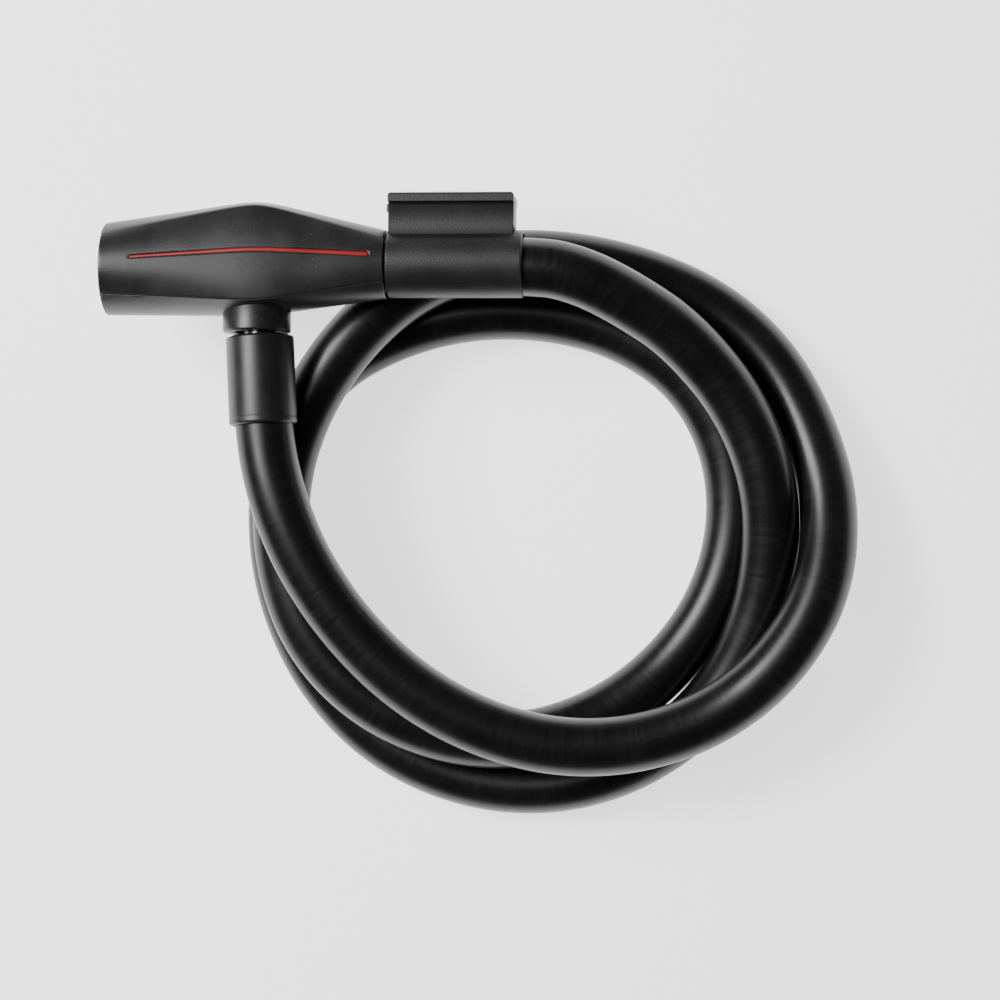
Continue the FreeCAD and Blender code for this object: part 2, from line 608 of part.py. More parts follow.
def build():
    """Every piece by its node name."""
    rear, front, strip = covers()
    head = {
        "rear_cover": rear,
        "front_cover": front,
        "accent_strip": strip,
        "lock_body": lock_body(),
        "face_ring": face_ring(),
        "cylinder_barrel": barrel(),
        "stop_pin": stop_pin(),
        "cylinder_core": cylinder_core(),
        "wafer_tumblers": wafers(),
        "tumbler_springs": tumbler_springs(),
        "locking_cam": locking_cam(),
        "socket_collar": socket_collar(),
        "fixed_end_ferrule": fixed_ferrule(),
        "fixed_end_pin": fixed_pin(0),
        "frame_adapter": frame_adapter(),
    }
    plug = {
        "plug_pin": plug_pin(),
        "plug_cap": plug_cap(),
        "plug_ferrule": plug_ferrule(),
        "plug_cross_pin": cross_pin(0),
    }
    nodes = dict(zip(head, in_head(head.values())))
    nodes.update(zip(plug, in_plug(plug.values())))
    nodes["cable_sheath"], nodes["cable_strand"] = cable()
    return nodes


def report_places():
    """Prints the axes and points that joints and mounts are stated with."""
    out = HEAD_TURN.multVec(V(0, 1, 0))
    up = HEAD_TURN.multVec(V(0, 0, 1))
    plug = plug_point(1) - plug_point(0)
    middle = (ADAPTER_START + TONGUE_INSET) + TONGUE_LENGTH / 2
    print("head +Y", out, "head +Z", up, "plug axis", plug)
    print("cap end", plug_point(CAP_END), "tongue top", HEAD_TURN.multVec(V(middle, TONGUE_TOP, 0)))


os.makedirs("parts", exist_ok=True)
for name, shape in build().items():
    shape.exportStep("parts/" + name + ".step")
    print(name, "solids", len(shape.Solids), "valid", shape.isValid(), "volume", round(shape.Volume, 1))
report_places()
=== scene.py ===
"""Keyed cable lock: a faceted head, a thick sheathed cable in a loose coil, its plug, and a slip-on frame adapter.

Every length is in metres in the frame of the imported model: the origin is the centre of the round key face, +X runs
along the head towards the fixed end of the cable, and +Z is up from the table that the coil lies on.
"""
from __future__ import annotations

import logging
import math
from collections.abc import Callable, Sequence
from dataclasses import dataclass, field
from enum import Enum

import bmesh
import bpy
from mathutils import Matrix, Vector
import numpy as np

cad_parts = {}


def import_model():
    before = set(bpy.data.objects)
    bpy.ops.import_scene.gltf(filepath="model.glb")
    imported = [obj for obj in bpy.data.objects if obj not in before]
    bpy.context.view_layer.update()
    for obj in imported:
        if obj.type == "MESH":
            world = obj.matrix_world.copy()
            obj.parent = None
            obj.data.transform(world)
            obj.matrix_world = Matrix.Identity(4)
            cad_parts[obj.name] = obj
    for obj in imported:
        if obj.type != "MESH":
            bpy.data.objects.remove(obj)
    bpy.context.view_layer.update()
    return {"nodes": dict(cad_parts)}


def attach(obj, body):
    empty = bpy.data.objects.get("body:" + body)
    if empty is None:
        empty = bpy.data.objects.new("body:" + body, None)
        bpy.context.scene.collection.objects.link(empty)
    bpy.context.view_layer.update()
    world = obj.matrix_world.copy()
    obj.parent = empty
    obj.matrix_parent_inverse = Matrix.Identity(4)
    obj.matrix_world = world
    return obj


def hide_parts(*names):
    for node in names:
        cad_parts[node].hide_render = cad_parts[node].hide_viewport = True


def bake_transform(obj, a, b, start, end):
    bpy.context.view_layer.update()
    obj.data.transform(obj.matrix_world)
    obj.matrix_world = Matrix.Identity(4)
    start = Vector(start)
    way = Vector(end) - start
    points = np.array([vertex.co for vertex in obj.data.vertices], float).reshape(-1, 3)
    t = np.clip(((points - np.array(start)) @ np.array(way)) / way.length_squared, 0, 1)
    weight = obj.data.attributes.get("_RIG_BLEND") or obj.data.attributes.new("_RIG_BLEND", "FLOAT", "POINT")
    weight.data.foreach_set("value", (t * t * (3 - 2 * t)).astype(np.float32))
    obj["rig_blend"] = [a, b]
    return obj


LOG = logging.getLogger("cable_lock")
MM = 0.001
FULL_TURN = 2 * math.pi
TINY = 0.001 * MM             # two places nearer than this are the same place
SHARP = math.radians(60.0)    # an edge that turns more than this is sharp
MERGE = 0.0001 * MM           # vertices nearer than this are one vertex

HEAD_ROLL = math.radians(-3.0)
PLUG_TILT = math.radians(3.0)
PLUG_X = 39.1 * MM
HEAD_FRAME = Matrix.Rotation(HEAD_ROLL, 4, "X")
PLUG_FRAME = HEAD_FRAME @ Matrix.Translation((PLUG_X, 0, 0)) @ Matrix.Rotation(PLUG_TILT, 4, "Z")

Socket = bpy.types.NodeSocket
Node = bpy.types.Node
Tree = bpy.types.NodeTree
Piece = bpy.types.Object
Shape = bmesh.types.BMesh
Edge = bmesh.types.BMEdge
Corner = bmesh.types.BMVert
Spot = tuple[float, float]
Triple = tuple[float, float, float]


class Body(str, Enum):
    """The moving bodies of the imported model."""

    HEAD = "head"
    KEY = "key_cylinder"
    PLUG = "plug"
    ADAPTER = "adapter"


class Slot(str, Enum):
    """Names of the record's material slots; settle takes one with each new piece but does not use it."""

    COVER = "cover_plastic"
    ACCENT = "accent_red"
    CAP = "cap_plastic"
    ADAPTER = "adapter_plastic"
    SHEATH = "sheath_pvc"


# ------------------------------------------------------------------------------------------------ shader groups
@dataclass
class NodeDesk:
    """A node tree with short ways to add and join nodes.

    Attributes:
        tree: The tree that nodes are added to.
    """

    tree: Tree

    def add(self, kind: str, **settings: object) -> Node:
        """Adds a node.

        Args:
            kind: The node's type name.
            **settings: Properties to set on it.

        Returns:
            The new node.
        """
        node = self.tree.nodes.new(kind)
        for name, value in settings.items():
            setattr(node, name, value)
        return node

    def join(self, source: Socket, target: Socket) -> None:
        """Links one socket to another."""
        self.tree.links.new(source, target)

    def math(self, operation: str, first: object, second: object) -> Socket:
        """Adds a Math node.

        Args:
            operation: The Math node's operation.
            first: A socket or a number.
            second: A socket or a number.

        Returns:
            The node's value.
        """
        node = self.add("ShaderNodeMath", operation=operation)
        for place, value in enumerate((first, second)):
            if isinstance(value, Socket):
                self.join(value, node.inputs[place])
            else:
                node.inputs[place].default_value = value
        return node.outputs[0]

    def noise(self, vector: Socket, scale: float, detail: float, roughness: float = 0.5) -> Socket:
        """Adds a Noise texture.

        Args:
            vector: The coordinates that it reads.
            scale: Cells per unit of the coordinates.
            detail: Number of finer layers.
            roughness: Share that each finer layer keeps.

        Returns:
            Its value, from 0 to 1.
        """
        node = self.add("ShaderNodeTexNoise")
        self.join(vector, node.inputs["Vector"])
        node.inputs["Scale"].default_value = scale
        node.inputs["Detail"].default_value = detail
        node.inputs["Roughness"].default_value = roughness
        return node.outputs["Fac"]

    def spread(self, value: Socket, low: float, high: float, start: object = 0.0, end: object = 1.0) -> Socket:
        """Maps low..high of a value to start..end, clamped.

        Args:
            value: The value to map.
            low: Where the mapped value is start.
            high: Where the mapped value is end.
            start: A number or a socket.
            end: A number or a socket.

        Returns:
            The mapped value.
        """
        node = self.add("ShaderNodeMapRange")
        self.join(value, node.inputs["Value"])
        for name, given in (("From Min", low), ("From Max", high), ("To Min", start), ("To Max", end)):
            if isinstance(given, Socket):
                self.join(given, node.inputs[name])
            else:
                node.inputs[name].default_value = given
        return node.outputs["Result"]

    def blend(self, share: Socket, first: object, second: object) -> Socket:
        """Mixes two colours.

        Args:
            share: How much of the second colour shows.
            first: A colour socket or four numbers.
            second: A colour socket or four numbers.

        Returns:
            The mixed colour.
        """
        node = self.add("ShaderNodeMix", data_type="RGBA")
        self.join(share, node.inputs["Factor"])
        for name, value in (("A", first), ("B", second)):
            socket = [s for s in node.inputs if s.name == name and s.type == "RGBA"][0]
            if isinstance(value, Socket):
                self.join(value, socket)
            else:
                socket.default_value = value
        return [s for s in node.outputs if s.type == "RGBA"][0]

    def stretched(self, vector: Socket, scale: Triple) -> Socket:
        """Returns coordinates that are scaled by a factor along each axis."""
        mapping = self.add("ShaderNodeMapping")
        self.join(vector, mapping.inputs["Vector"])
        mapping.inputs["Scale"].default_value = scale
        return mapping.outputs["Vector"]

    def finish(self, shader: Node, colour: Socket, roughness: Socket, height: Socket, depth: float) -> None:
        """Joins a finish to its shader.

        Args:
            shader: The Principled node.
            colour: The finish's colour.
            roughness: Its roughness.
            height: Its fine relief, from 0 to 1.
            depth: Depth of the relief, in metres.
        """
        self.join(colour, shader.inputs["Base Color"])
        self.join(roughness, shader.inputs["Roughness"])
        bump = self.add("ShaderNodeBump")
        bump.inputs["Distance"].default_value = depth
        self.join(height, bump.inputs["Height"])
        self.join(bump.outputs["Normal"], shader.inputs["Normal"])


@dataclass
class EffectGroups:
    """The effects that several finishes share, each built once as a node group."""

    built: dict[str, Tree] = field(default_factory=dict)

    def start(self, name: str, outputs: Sequence[str], **inputs: float) -> tuple[NodeDesk, Node, Node]:
        """Makes an empty group that reads coordinates and some values.

        Args:
            name: The group's name.
            outputs: Names of the outputs, each a value.
            **inputs: Default of each value that it takes, besides its Vector.

        Returns:
            The desk, the group's input node and its output node.
        """
        tree = bpy.data.node_groups.new(name, "ShaderNodeTree")
        tree.interface.new_socket(name="Vector", in_out="INPUT", socket_type="NodeSocketVector")
        for label, default in inputs.items():
            socket = tree.interface.new_socket(name=label, in_out="INPUT", socket_type="NodeSocketFloat")
            socket.default_value = default
        for label in outputs:
            tree.interface.new_socket(name=label, in_out="OUTPUT", socket_type="NodeSocketFloat")
        desk = NodeDesk(tree)
        self.built[name] = tree
        return desk, desk.add("NodeGroupInput"), desk.add("NodeGroupOutput")

    def grain(self) -> Tree:
        """Returns the moulded grain: fine pits over a slow unevenness."""
        if "moulded_grain" in self.built:
            return self.built["moulded_grain"]
        desk, given, result = self.start("moulded_grain", ("Height", "Mottle"), Scale=2600.0)
        cells = desk.add("ShaderNodeTexVoronoi", feature="SMOOTH_F1")
        desk.join(given.outputs["Vector"], cells.inputs["Vector"])
        desk.join(given.outputs["Scale"], cells.inputs["Scale"])
        fine = desk.add("ShaderNodeTexNoise")
        desk.join(given.outputs["Vector"], fine.inputs["Vector"])
        desk.join(given.outputs["Scale"], fine.inputs["Scale"])
        fine.inputs["Detail"].default_value = 2.0
        pits = desk.math("MULTIPLY", cells.outputs["Distance"], 0.6)
        height = desk.math("ADD", pits, desk.math("MULTIPLY", fine.outputs["Fac"], 0.4))
        desk.join(height, result.inputs["Height"])
        desk.join(desk.noise(given.outputs["Vector"], 110.0, 3.0), result.inputs["Mottle"])
        return self.built["moulded_grain"]

    def edge_wear(self) -> Tree:
        """Returns the rubbed edges: a mask that is bright where the surface turns sharply."""
        if "rubbed_edges" in self.built:
            return self.built["rubbed_edges"]
        desk, given, result = self.start("rubbed_edges", ("Mask",), Radius=0.5 * MM, Breakup=0.5)
        rounded = desk.add("ShaderNodeBevel", samples=6)
        desk.join(given.outputs["Radius"], rounded.inputs["Radius"])
        plain = desk.add("ShaderNodeNewGeometry")
        turn = desk.add("ShaderNodeVectorMath", operation="DOT_PRODUCT")
        desk.join(rounded.outputs["Normal"], turn.inputs[0])
        desk.join(plain.outputs["Normal"], turn.inputs[1])
        edge = desk.spread(turn.outputs["Value"], 0.995, 0.86)
        patches = desk.spread(desk.noise(given.outputs["Vector"], 420.0, 4.0), 0.35, 0.7)
        gaps = desk.math("MULTIPLY", desk.math("SUBTRACT", 1.0, patches), given.outputs["Breakup"])
        kept = desk.math("SUBTRACT", 1.0, gaps)
        desk.join(desk.math("MULTIPLY", edge, kept), result.inputs["Mask"])
        return self.built["rubbed_edges"]

    def dust(self) -> Tree:
        """Returns the dust: sparse pale specks in soft patches."""
        if "light_dust" in self.built:
            return self.built["light_dust"]
        desk, given, result = self.start("light_dust", ("Mask",), Amount=0.5)
        specks = desk.spread(desk.noise(given.outputs["Vector"], 1900.0, 1.0), 0.70, 0.80)
        patches = desk.spread(desk.noise(given.outputs["Vector"], 60.0, 2.0), 0.4, 0.65)
        mask = desk.math("MULTIPLY", desk.math("MULTIPLY", specks, patches), given.outputs["Amount"])
        desk.join(mask, result.inputs["Mask"])
        return self.built["light_dust"]

    def place(self, desk: NodeDesk, group: Tree, vector: Socket, **values: float) -> Node:
        """Puts a group into a material.

        Args:
            desk: The material's desk.
            group: The group.
            vector: The coordinates that it reads.
            **values: Its inputs, by name.

        Returns:
            The group node.
        """
        node = desk.add("ShaderNodeGroup", node_tree=group)
        desk.join(vector, node.inputs["Vector"])
        for name, value in values.items():
            node.inputs[name].default_value = value
        return node


# ------------------------------------------------------------------------------------------------ finishes
def opaque(colour: Triple) -> tuple[float, float, float, float]:
    """Returns the colour with full alpha."""
    return (*colour, 1.0)


def new_material(name: str) -> tuple[bpy.types.Material, NodeDesk, Node]:
    """Makes a node material with its Principled shader.

    Args:
        name: The material's name.

    Returns:
        The material, its desk and the Principled node.
    """
    material = bpy.data.materials.new(name)
    material.use_nodes = True
    shader = material.node_tree.nodes["Principled BSDF"]
    return material, NodeDesk(material.node_tree), shader


@dataclass(frozen=True)
class MouldedPlastic:
    """Dark moulded plastic with fine grain, rubbed edges and a little dust.

    Attributes:
        name: The material's name.
        colour: Triple of the flat surface.
        edge_colour: Triple of a rubbed edge.
        roughness: Roughness of the flat surface.
        roughness_swing: How much the roughness varies.
        grain_scale: Grain cells per metre.
        grain_depth: Depth of the grain, in metres.
        edge_radius: Width of the rubbed edge, in metres.
        edge_amount: How strongly an edge lightens.
        specular: Reflectance at the surface.
        dust_amount: How much dust lies on it.
        dust_colour: Colour of the dust.
    """

    name: str
    colour: Triple
    edge_colour: Triple
    roughness: float
    roughness_swing: float = 0.08
    grain_scale: float = 2600.0
    grain_depth: float = 0.02 * MM
    edge_radius: float = 0.4 * MM
    edge_amount: float = 0.5
    specular: float = 0.5
    dust_amount: float = 0.2
    dust_colour: Triple = (0.35, 0.34, 0.32)

    def build(self, effects: EffectGroups) -> bpy.types.Material:
        """Builds the material.

        Args:
            effects: The shared node groups.

        Returns:
            The material.
        """
        material, desk, shader = new_material(self.name)
        place = desk.add("ShaderNodeTexCoord").outputs["Object"]
        grain = effects.place(desk, effects.grain(), place, Scale=self.grain_scale)
        wear = effects.place(desk, effects.edge_wear(), place, Radius=self.edge_radius, Breakup=0.35)
        dust = effects.place(desk, effects.dust(), place, Amount=self.dust_amount)
        darker = opaque(tuple(part * 0.8 for part in self.colour))
        lighter = opaque(tuple(part * 1.25 for part in self.colour))
        body = desk.blend(desk.spread(grain.outputs["Mottle"], 0.3, 0.7), darker, lighter)
        worn = desk.math("MULTIPLY", wear.outputs["Mask"], self.edge_amount)
        rubbed = desk.blend(worn, body, opaque(self.edge_colour))
        dusty = desk.blend(dust.outputs["Mask"], rubbed, opaque(self.dust_colour))
        low = self.roughness - self.roughness_swing / 2
        high = self.roughness + self.roughness_swing / 2
        rough = desk.spread(grain.outputs["Mottle"], 0.3, 0.7, low, high)
        desk.finish(shader, dusty, rough, grain.outputs["Height"], self.grain_depth)
        shader.inputs["Specular IOR Level"].default_value = self.specular
        return material


@dataclass(frozen=True)
class ExtrudedSheath:
    """Black extruded sheath: satin gloss with fine ripples across it and faint streaks along it.

    Attributes:
        name: The material's name.
        colour: Triple of the sheath.
        bloom_colour: Triple of the faint bloom on it.
        roughness: Mean roughness.
        ripple_pitch: Length of one ripple, in metres.
        ripple_depth: Depth of the ripples, in metres.
        dust_colour: Colour of the dust on it.
    """

    name: str
    colour: Triple = (0.004, 0.004, 0.0042)
    bloom_colour: Triple = (0.014, 0.014, 0.0145)
    roughness: float = 0.33
    ripple_pitch: float = 1.1 * MM
    ripple_depth: float = 0.03 * MM
    dust_colour: Triple = (0.25, 0.25, 0.24)

    def build(self, effects: EffectGroups) -> bpy.types.Material:
        """Builds the material.

        Args:
            effects: The shared node groups.

        Returns:
            The material.
        """
        material, desk, shader = new_material(self.name)
        coordinates = desk.add("ShaderNodeTexCoord")
        across = desk.stretched(coordinates.outputs["UV"], (1.0, 0.07, 1.0))
        ripples = desk.noise(across, 1 / self.ripple_pitch, 2.0, 0.6)
        swell = desk.noise(across, 0.12 / self.ripple_pitch, 1.0)
        streaks = desk.noise(desk.stretched(coordinates.outputs["UV"], (0.04, 1.0, 1.0)), 700.0, 2.0)
        place = coordinates.outputs["Object"]
        grain = effects.place(desk, effects.grain(), place, Scale=3200.0)
        dust = effects.place(desk, effects.dust(), place, Amount=0.12)
        bloom = desk.math("MULTIPLY", desk.spread(ripples, 0.35, 0.75), desk.spread(swell, 0.3, 0.75))
        body = desk.blend(bloom, opaque(self.colour), opaque(self.bloom_colour))
        dusty = desk.blend(dust.outputs["Mask"], body, opaque(self.dust_colour))
        mixed = desk.math("ADD", desk.math("MULTIPLY", ripples, 0.45), desk.math("MULTIPLY", streaks, 0.2))
        uneven = desk.math("ADD", mixed, desk.math("MULTIPLY", grain.outputs["Mottle"], 0.35))
        rough = desk.spread(uneven, 0.3, 0.7, self.roughness - 0.06, self.roughness + 0.07)
        coarse = desk.math("MULTIPLY", ripples, desk.spread(swell, 0.25, 0.8, 0.25, 1.0))
        height = desk.math("ADD", coarse, desk.math("MULTIPLY", grain.outputs["Height"], 0.06))
        desk.finish(shader, dusty, rough, height, self.ripple_depth)
        shader.inputs["Specular IOR Level"].default_value = 0.4
        return material


@dataclass(frozen=True)
class WorkedMetal:
    """Machined, cast or plated metal with fine tool marks.

    Attributes:
        name: The material's name.
        colour: Triple of the metal.
        roughness: Mean roughness.
        mark_scale: Tool marks per metre.
        mark_depth: Depth of the marks, in metres.
        stretch: How much longer than wide the marks are.
    """

    name: str
    colour: Triple
    roughness: float
    mark_scale: float = 2500.0
    mark_depth: float = 0.008 * MM
    stretch: float = 8.0

    def build(self, effects: EffectGroups) -> bpy.types.Material:
        """Builds the material.

        Args:
            effects: The shared node groups.

        Returns:
            The material.
        """
        material, desk, shader = new_material(self.name)
        place = desk.add("ShaderNodeTexCoord").outputs["Object"]
        marks = desk.noise(desk.stretched(place, (1.0, 1.0 / self.stretch, 1.0)), self.mark_scale, 3.0)
        stains = desk.noise(place, 240.0, 4.0)
        wear = effects.place(desk, effects.edge_wear(), place, Radius=0.2 * MM, Breakup=0.3)
        dull = opaque(tuple(part * 0.72 for part in self.colour))
        body = desk.blend(desk.spread(stains, 0.35, 0.7), dull, opaque(self.colour))
        bright = opaque(tuple(min(part * 1.2, 1.0) for part in self.colour))
        rubbed = desk.blend(wear.outputs["Mask"], body, bright)
        rough = desk.spread(marks, 0.25, 0.75, self.roughness - 0.07, self.roughness + 0.09)
        desk.finish(shader, rubbed, rough, marks, self.mark_depth)
        shader.inputs["Metallic"].default_value = 1.0
        return material


@dataclass(frozen=True)
class Inlay:
    """Bright inlaid plastic, slightly uneven.

    Attributes:
        name: The material's name.
        colour: Triple of the inlay.
        roughness: Mean roughness.
        grain_depth: Depth of the grain, in metres.
    """

    name: str
    colour: Triple = (0.36, 0.010, 0.009)
    roughness: float = 0.42
    grain_depth: float = 0.008 * MM

    def build(self, effects: EffectGroups) -> bpy.types.Material:
        """Builds the material.

        Args:
            effects: The shared node groups.

        Returns:
            The material.
        """
        material, desk, shader = new_material(self.name)
        place = desk.add("ShaderNodeTexCoord").outputs["Object"]
        grain = effects.place(desk, effects.grain(), place, Scale=3000.0)
        deep = opaque(tuple(part * 0.82 for part in self.colour))
        body = desk.blend(desk.spread(grain.outputs["Mottle"], 0.3, 0.7), deep, opaque(self.colour))
        rough = desk.spread(grain.outputs["Mottle"], 0.3, 0.7, self.roughness - 0.05, self.roughness + 0.05)
        desk.finish(shader, body, rough, grain.outputs["Height"], self.grain_depth)
        return material


@dataclass
class Finishes:
    """Every finish of the lock, built once."""

    effects: EffectGroups = field(default_factory=EffectGroups)
    cover: MouldedPlastic = MouldedPlastic("cover_satin", (0.017, 0.017, 0.0178), (0.07, 0.07, 0.072), 0.36)
    collar: MouldedPlastic = MouldedPlastic("collar_satin", (0.009, 0.009, 0.0094), (0.05, 0.05, 0.052), 0.38)
    cap: MouldedPlastic = MouldedPlastic("cap_satin", (0.011, 0.011, 0.0115), (0.06, 0.06, 0.062), 0.36,
                                         grain_scale=3400.0, grain_depth=0.03 * MM)
    adapter: MouldedPlastic = MouldedPlastic("adapter_matte", (0.013, 0.013, 0.0136), (0.08, 0.08, 0.082), 0.46,
                                             grain_scale=2400.0, grain_depth=0.05 * MM)
    sheath: ExtrudedSheath = ExtrudedSheath("sheath_gloss")
    inlay: Inlay = Inlay("red_inlay")
    zinc: WorkedMetal = WorkedMetal("cast_zinc", (0.50, 0.51, 0.52), 0.48, 1600.0, 0.02 * MM, 1.0)
    brass: WorkedMetal = WorkedMetal("turned_brass", (0.68, 0.50, 0.22), 0.30)
    steel: WorkedMetal = WorkedMetal("plated_steel", (0.56, 0.57, 0.58), 0.28)
    pin: WorkedMetal = WorkedMetal("nickel_pin", (0.63, 0.64, 0.65), 0.2)

    def dress(self, piece: Piece, finish: MouldedPlastic | ExtrudedSheath | Inlay | WorkedMetal) -> None:
        """Gives a piece its finish, in every material slot that it has.

        Args:
            piece: A new piece or a carried-over node.
            finish: The finish.
        """
        material = bpy.data.materials.get(finish.name) or finish.build(self.effects)
        if not piece.material_slots:
            piece.data.materials.append(material)
        for slot in piece.material_slots:
            slot.material = material


# ------------------------------------------------------------------------------------------------ mesh helpers
def finish_mesh(mesh: Shape, name: str, place: Matrix, even: bool = True) -> Piece:
    """Makes an object of a bmesh, with its place in its mesh.

    Args:
        mesh: The shape, which is freed.
        name: Name of the piece.
        place: Where the shape stands in the row frame.
        even: Adds normals weighted by face size.

    Returns:
        The new object.
    """
    bmesh.ops.transform(mesh, matrix=place, verts=mesh.verts)
    bmesh.ops.recalc_face_normals(mesh, faces=mesh.faces)
    for face in mesh.faces:
        face.smooth = True
    data = bpy.data.meshes.new(name)
    mesh.to_mesh(data)
    mesh.free()
    piece = bpy.data.objects.new(name, data)
    bpy.context.scene.collection.objects.link(piece)
    if even:
        weights = piece.modifiers.new("even_shading", "WEIGHTED_NORMAL")
        weights.weight = 80
    return piece


def open_edges(mesh: Shape) -> list[Edge]:
    """Returns the edges that have a face on one side only."""
    return [edge for edge in mesh.edges if len(edge.link_faces) == 1]


def extruded(mesh: Shape, edges: list[Edge]) -> list[Corner]:
    """Extrudes edges in place and returns the new vertices."""
    made = bmesh.ops.extrude_edge_only(mesh, edges=edges)["geom"]
    return [item for item in made if isinstance(item, Corner)]


def round_edges(mesh: Shape, edges: list[Edge], width: float, segments: int) -> None:
    """Rounds edges to a width, with that many faces across."""
    bmesh.ops.bevel(mesh, geom=edges, offset=width, offset_type="OFFSET", segments=segments, profile=0.5,
                    affect="EDGES", material=-1, clamp_overlap=True)


def round_sharp(mesh: Shape, radius: float, segments: int = 3,
                wanted: Callable[[Edge], bool] | None = None) -> None:
    """Rounds the edges that turn sharply.

    Args:
        mesh: The shape.
        radius: Width of the rounding.
        segments: Faces across the rounding.
        wanted: A further test that an edge has to pass.
    """
    edges = [e for e in mesh.edges if len(e.link_faces) == 2 and e.calc_face_angle(0.0) > SHARP]
    if wanted:
        edges = [e for e in edges if wanted(e)]
    round_edges(mesh, edges, radius, segments)


def turned(profile: Sequence[tuple[float, float]], axis: Vector, segments: int = 128) -> Shape:
    """Spins a closed profile about an axis through the origin.

    Args:
        profile: Radius and distance along the axis of each corner.
        axis: The unit axis.
        segments: Steps of the full turn.

    Returns:
        The closed shape.
    """
    mesh = bmesh.new()
    side = axis.orthogonal().normalized()
    corners = [mesh.verts.new(side * radius + axis * reach) for radius, reach in profile]
    edges = [mesh.edges.new((a, b)) for a, b in zip(corners, corners[1:] + corners[:1])]
    bmesh.ops.spin(mesh, geom=corners + edges, cent=(0, 0, 0), axis=axis, angle=FULL_TURN, steps=segments,
                   use_merge=True)
    bmesh.ops.remove_doubles(mesh, verts=mesh.verts, dist=MERGE)
    bmesh.ops.recalc_face_normals(mesh, faces=mesh.faces)
    return mesh


def block(x: tuple[float, float], y: tuple[float, float], z: tuple[float, float]) -> Shape:
    """Makes a box from three (low, high) pairs.

    Args:
        x: Ends along X.
        y: Ends along Y.
        z: Ends along Z.

    Returns:
        The box.
    """
    mesh = bmesh.new()
    size = [high - low for low, high in (x, y, z)]
    middle = [(high + low) / 2 for low, high in (x, y, z)]
    place = Matrix.Translation(middle) @ Matrix.Diagonal((*size, 1))
    bmesh.ops.create_cube(mesh, size=1.0, matrix=place)
    return mesh


def even_steps(*marks: tuple[float, int]) -> list[float]:
    """Lists places from each mark to the next.

    Args:
        *marks: A place and the number of steps to the next one; the last number isn't used.

    Returns:
        The places, in order.
    """
    places = []
    for (start, steps), (end, _) in zip(marks, marks[1:]):
        places += [start + (end - start) * step / steps for step in range(steps)]
    return places + [marks[-1][0]]


@dataclass
class Sheet:
    """A grid that is laid on a surface, with its vertices by column and row.

    Attributes:
        columns: Number of faces along the piece.
        rows: Number of faces across it.
        mesh: The shape.
        at: The vertices by (column, row).
    """

    columns: int
    rows: int
    mesh: Shape = field(default_factory=bmesh.new)
    at: dict[tuple[int, int], Corner] = field(default_factory=dict)

    def lay(self, surface: Callable[[int, int], Vector]) -> None:
        """Makes the grid and puts each vertex on the surface.

        Args:
            surface: The point for a column and a row.
        """
        bmesh.ops.create_grid(self.mesh, x_segments=self.columns, y_segments=self.rows, size=1.0)
        for vertex in self.mesh.verts:
            column = round((vertex.co.x + 1) / 2 * self.columns)
            row = round((vertex.co.y + 1) / 2 * self.rows)
            self.at[column, row] = vertex
        for (column, row), vertex in self.at.items():
            vertex.co = surface(column, row)

    def line(self, row: int) -> list[Edge]:
        """Returns the edges along one row."""
        pairs = [(self.at[c, row], self.at[c + 1, row]) for c in range(self.columns)]
        return [edge for edge in (self.mesh.edges.get(pair) for pair in pairs) if edge]


# ------------------------------------------------------------------------------------------------ the head
def arc_through(start: Spot, middle: Spot, end: Spot) -> tuple[Vector, float, float, float]:
    """Finds the circle through three points.

    Args:
        start: First point.
        middle: A point between.
        end: Last point.

    Returns:
        The centre, the radius, the start angle and the turn to the end.
    """
    (ax, ay), (bx, by), (cx, cy) = start, middle, end
    d = 2 * (ax * (by - cy) + bx * (cy - ay) + cx * (ay - by))
    a2, b2, c2 = ax * ax + ay * ay, bx * bx + by * by, cx * cx + cy * cy
    centre = Vector(((a2 * (by - cy) + b2 * (cy - ay) + c2 * (ay - by)) / d,
                     (a2 * (cx - bx) + b2 * (ax - cx) + c2 * (bx - ax)) / d))
    first = math.atan2(ay - centre.y, ax - centre.x)
    mid = (math.atan2(by - centre.y, bx - centre.x) - first) % FULL_TURN
    last = (math.atan2(cy - centre.y, cx - centre.x) - first) % FULL_TURN
    turn = last if mid <= last else last - FULL_TURN
    return centre, math.hypot(ax - centre.x, ay - centre.y), first, turn


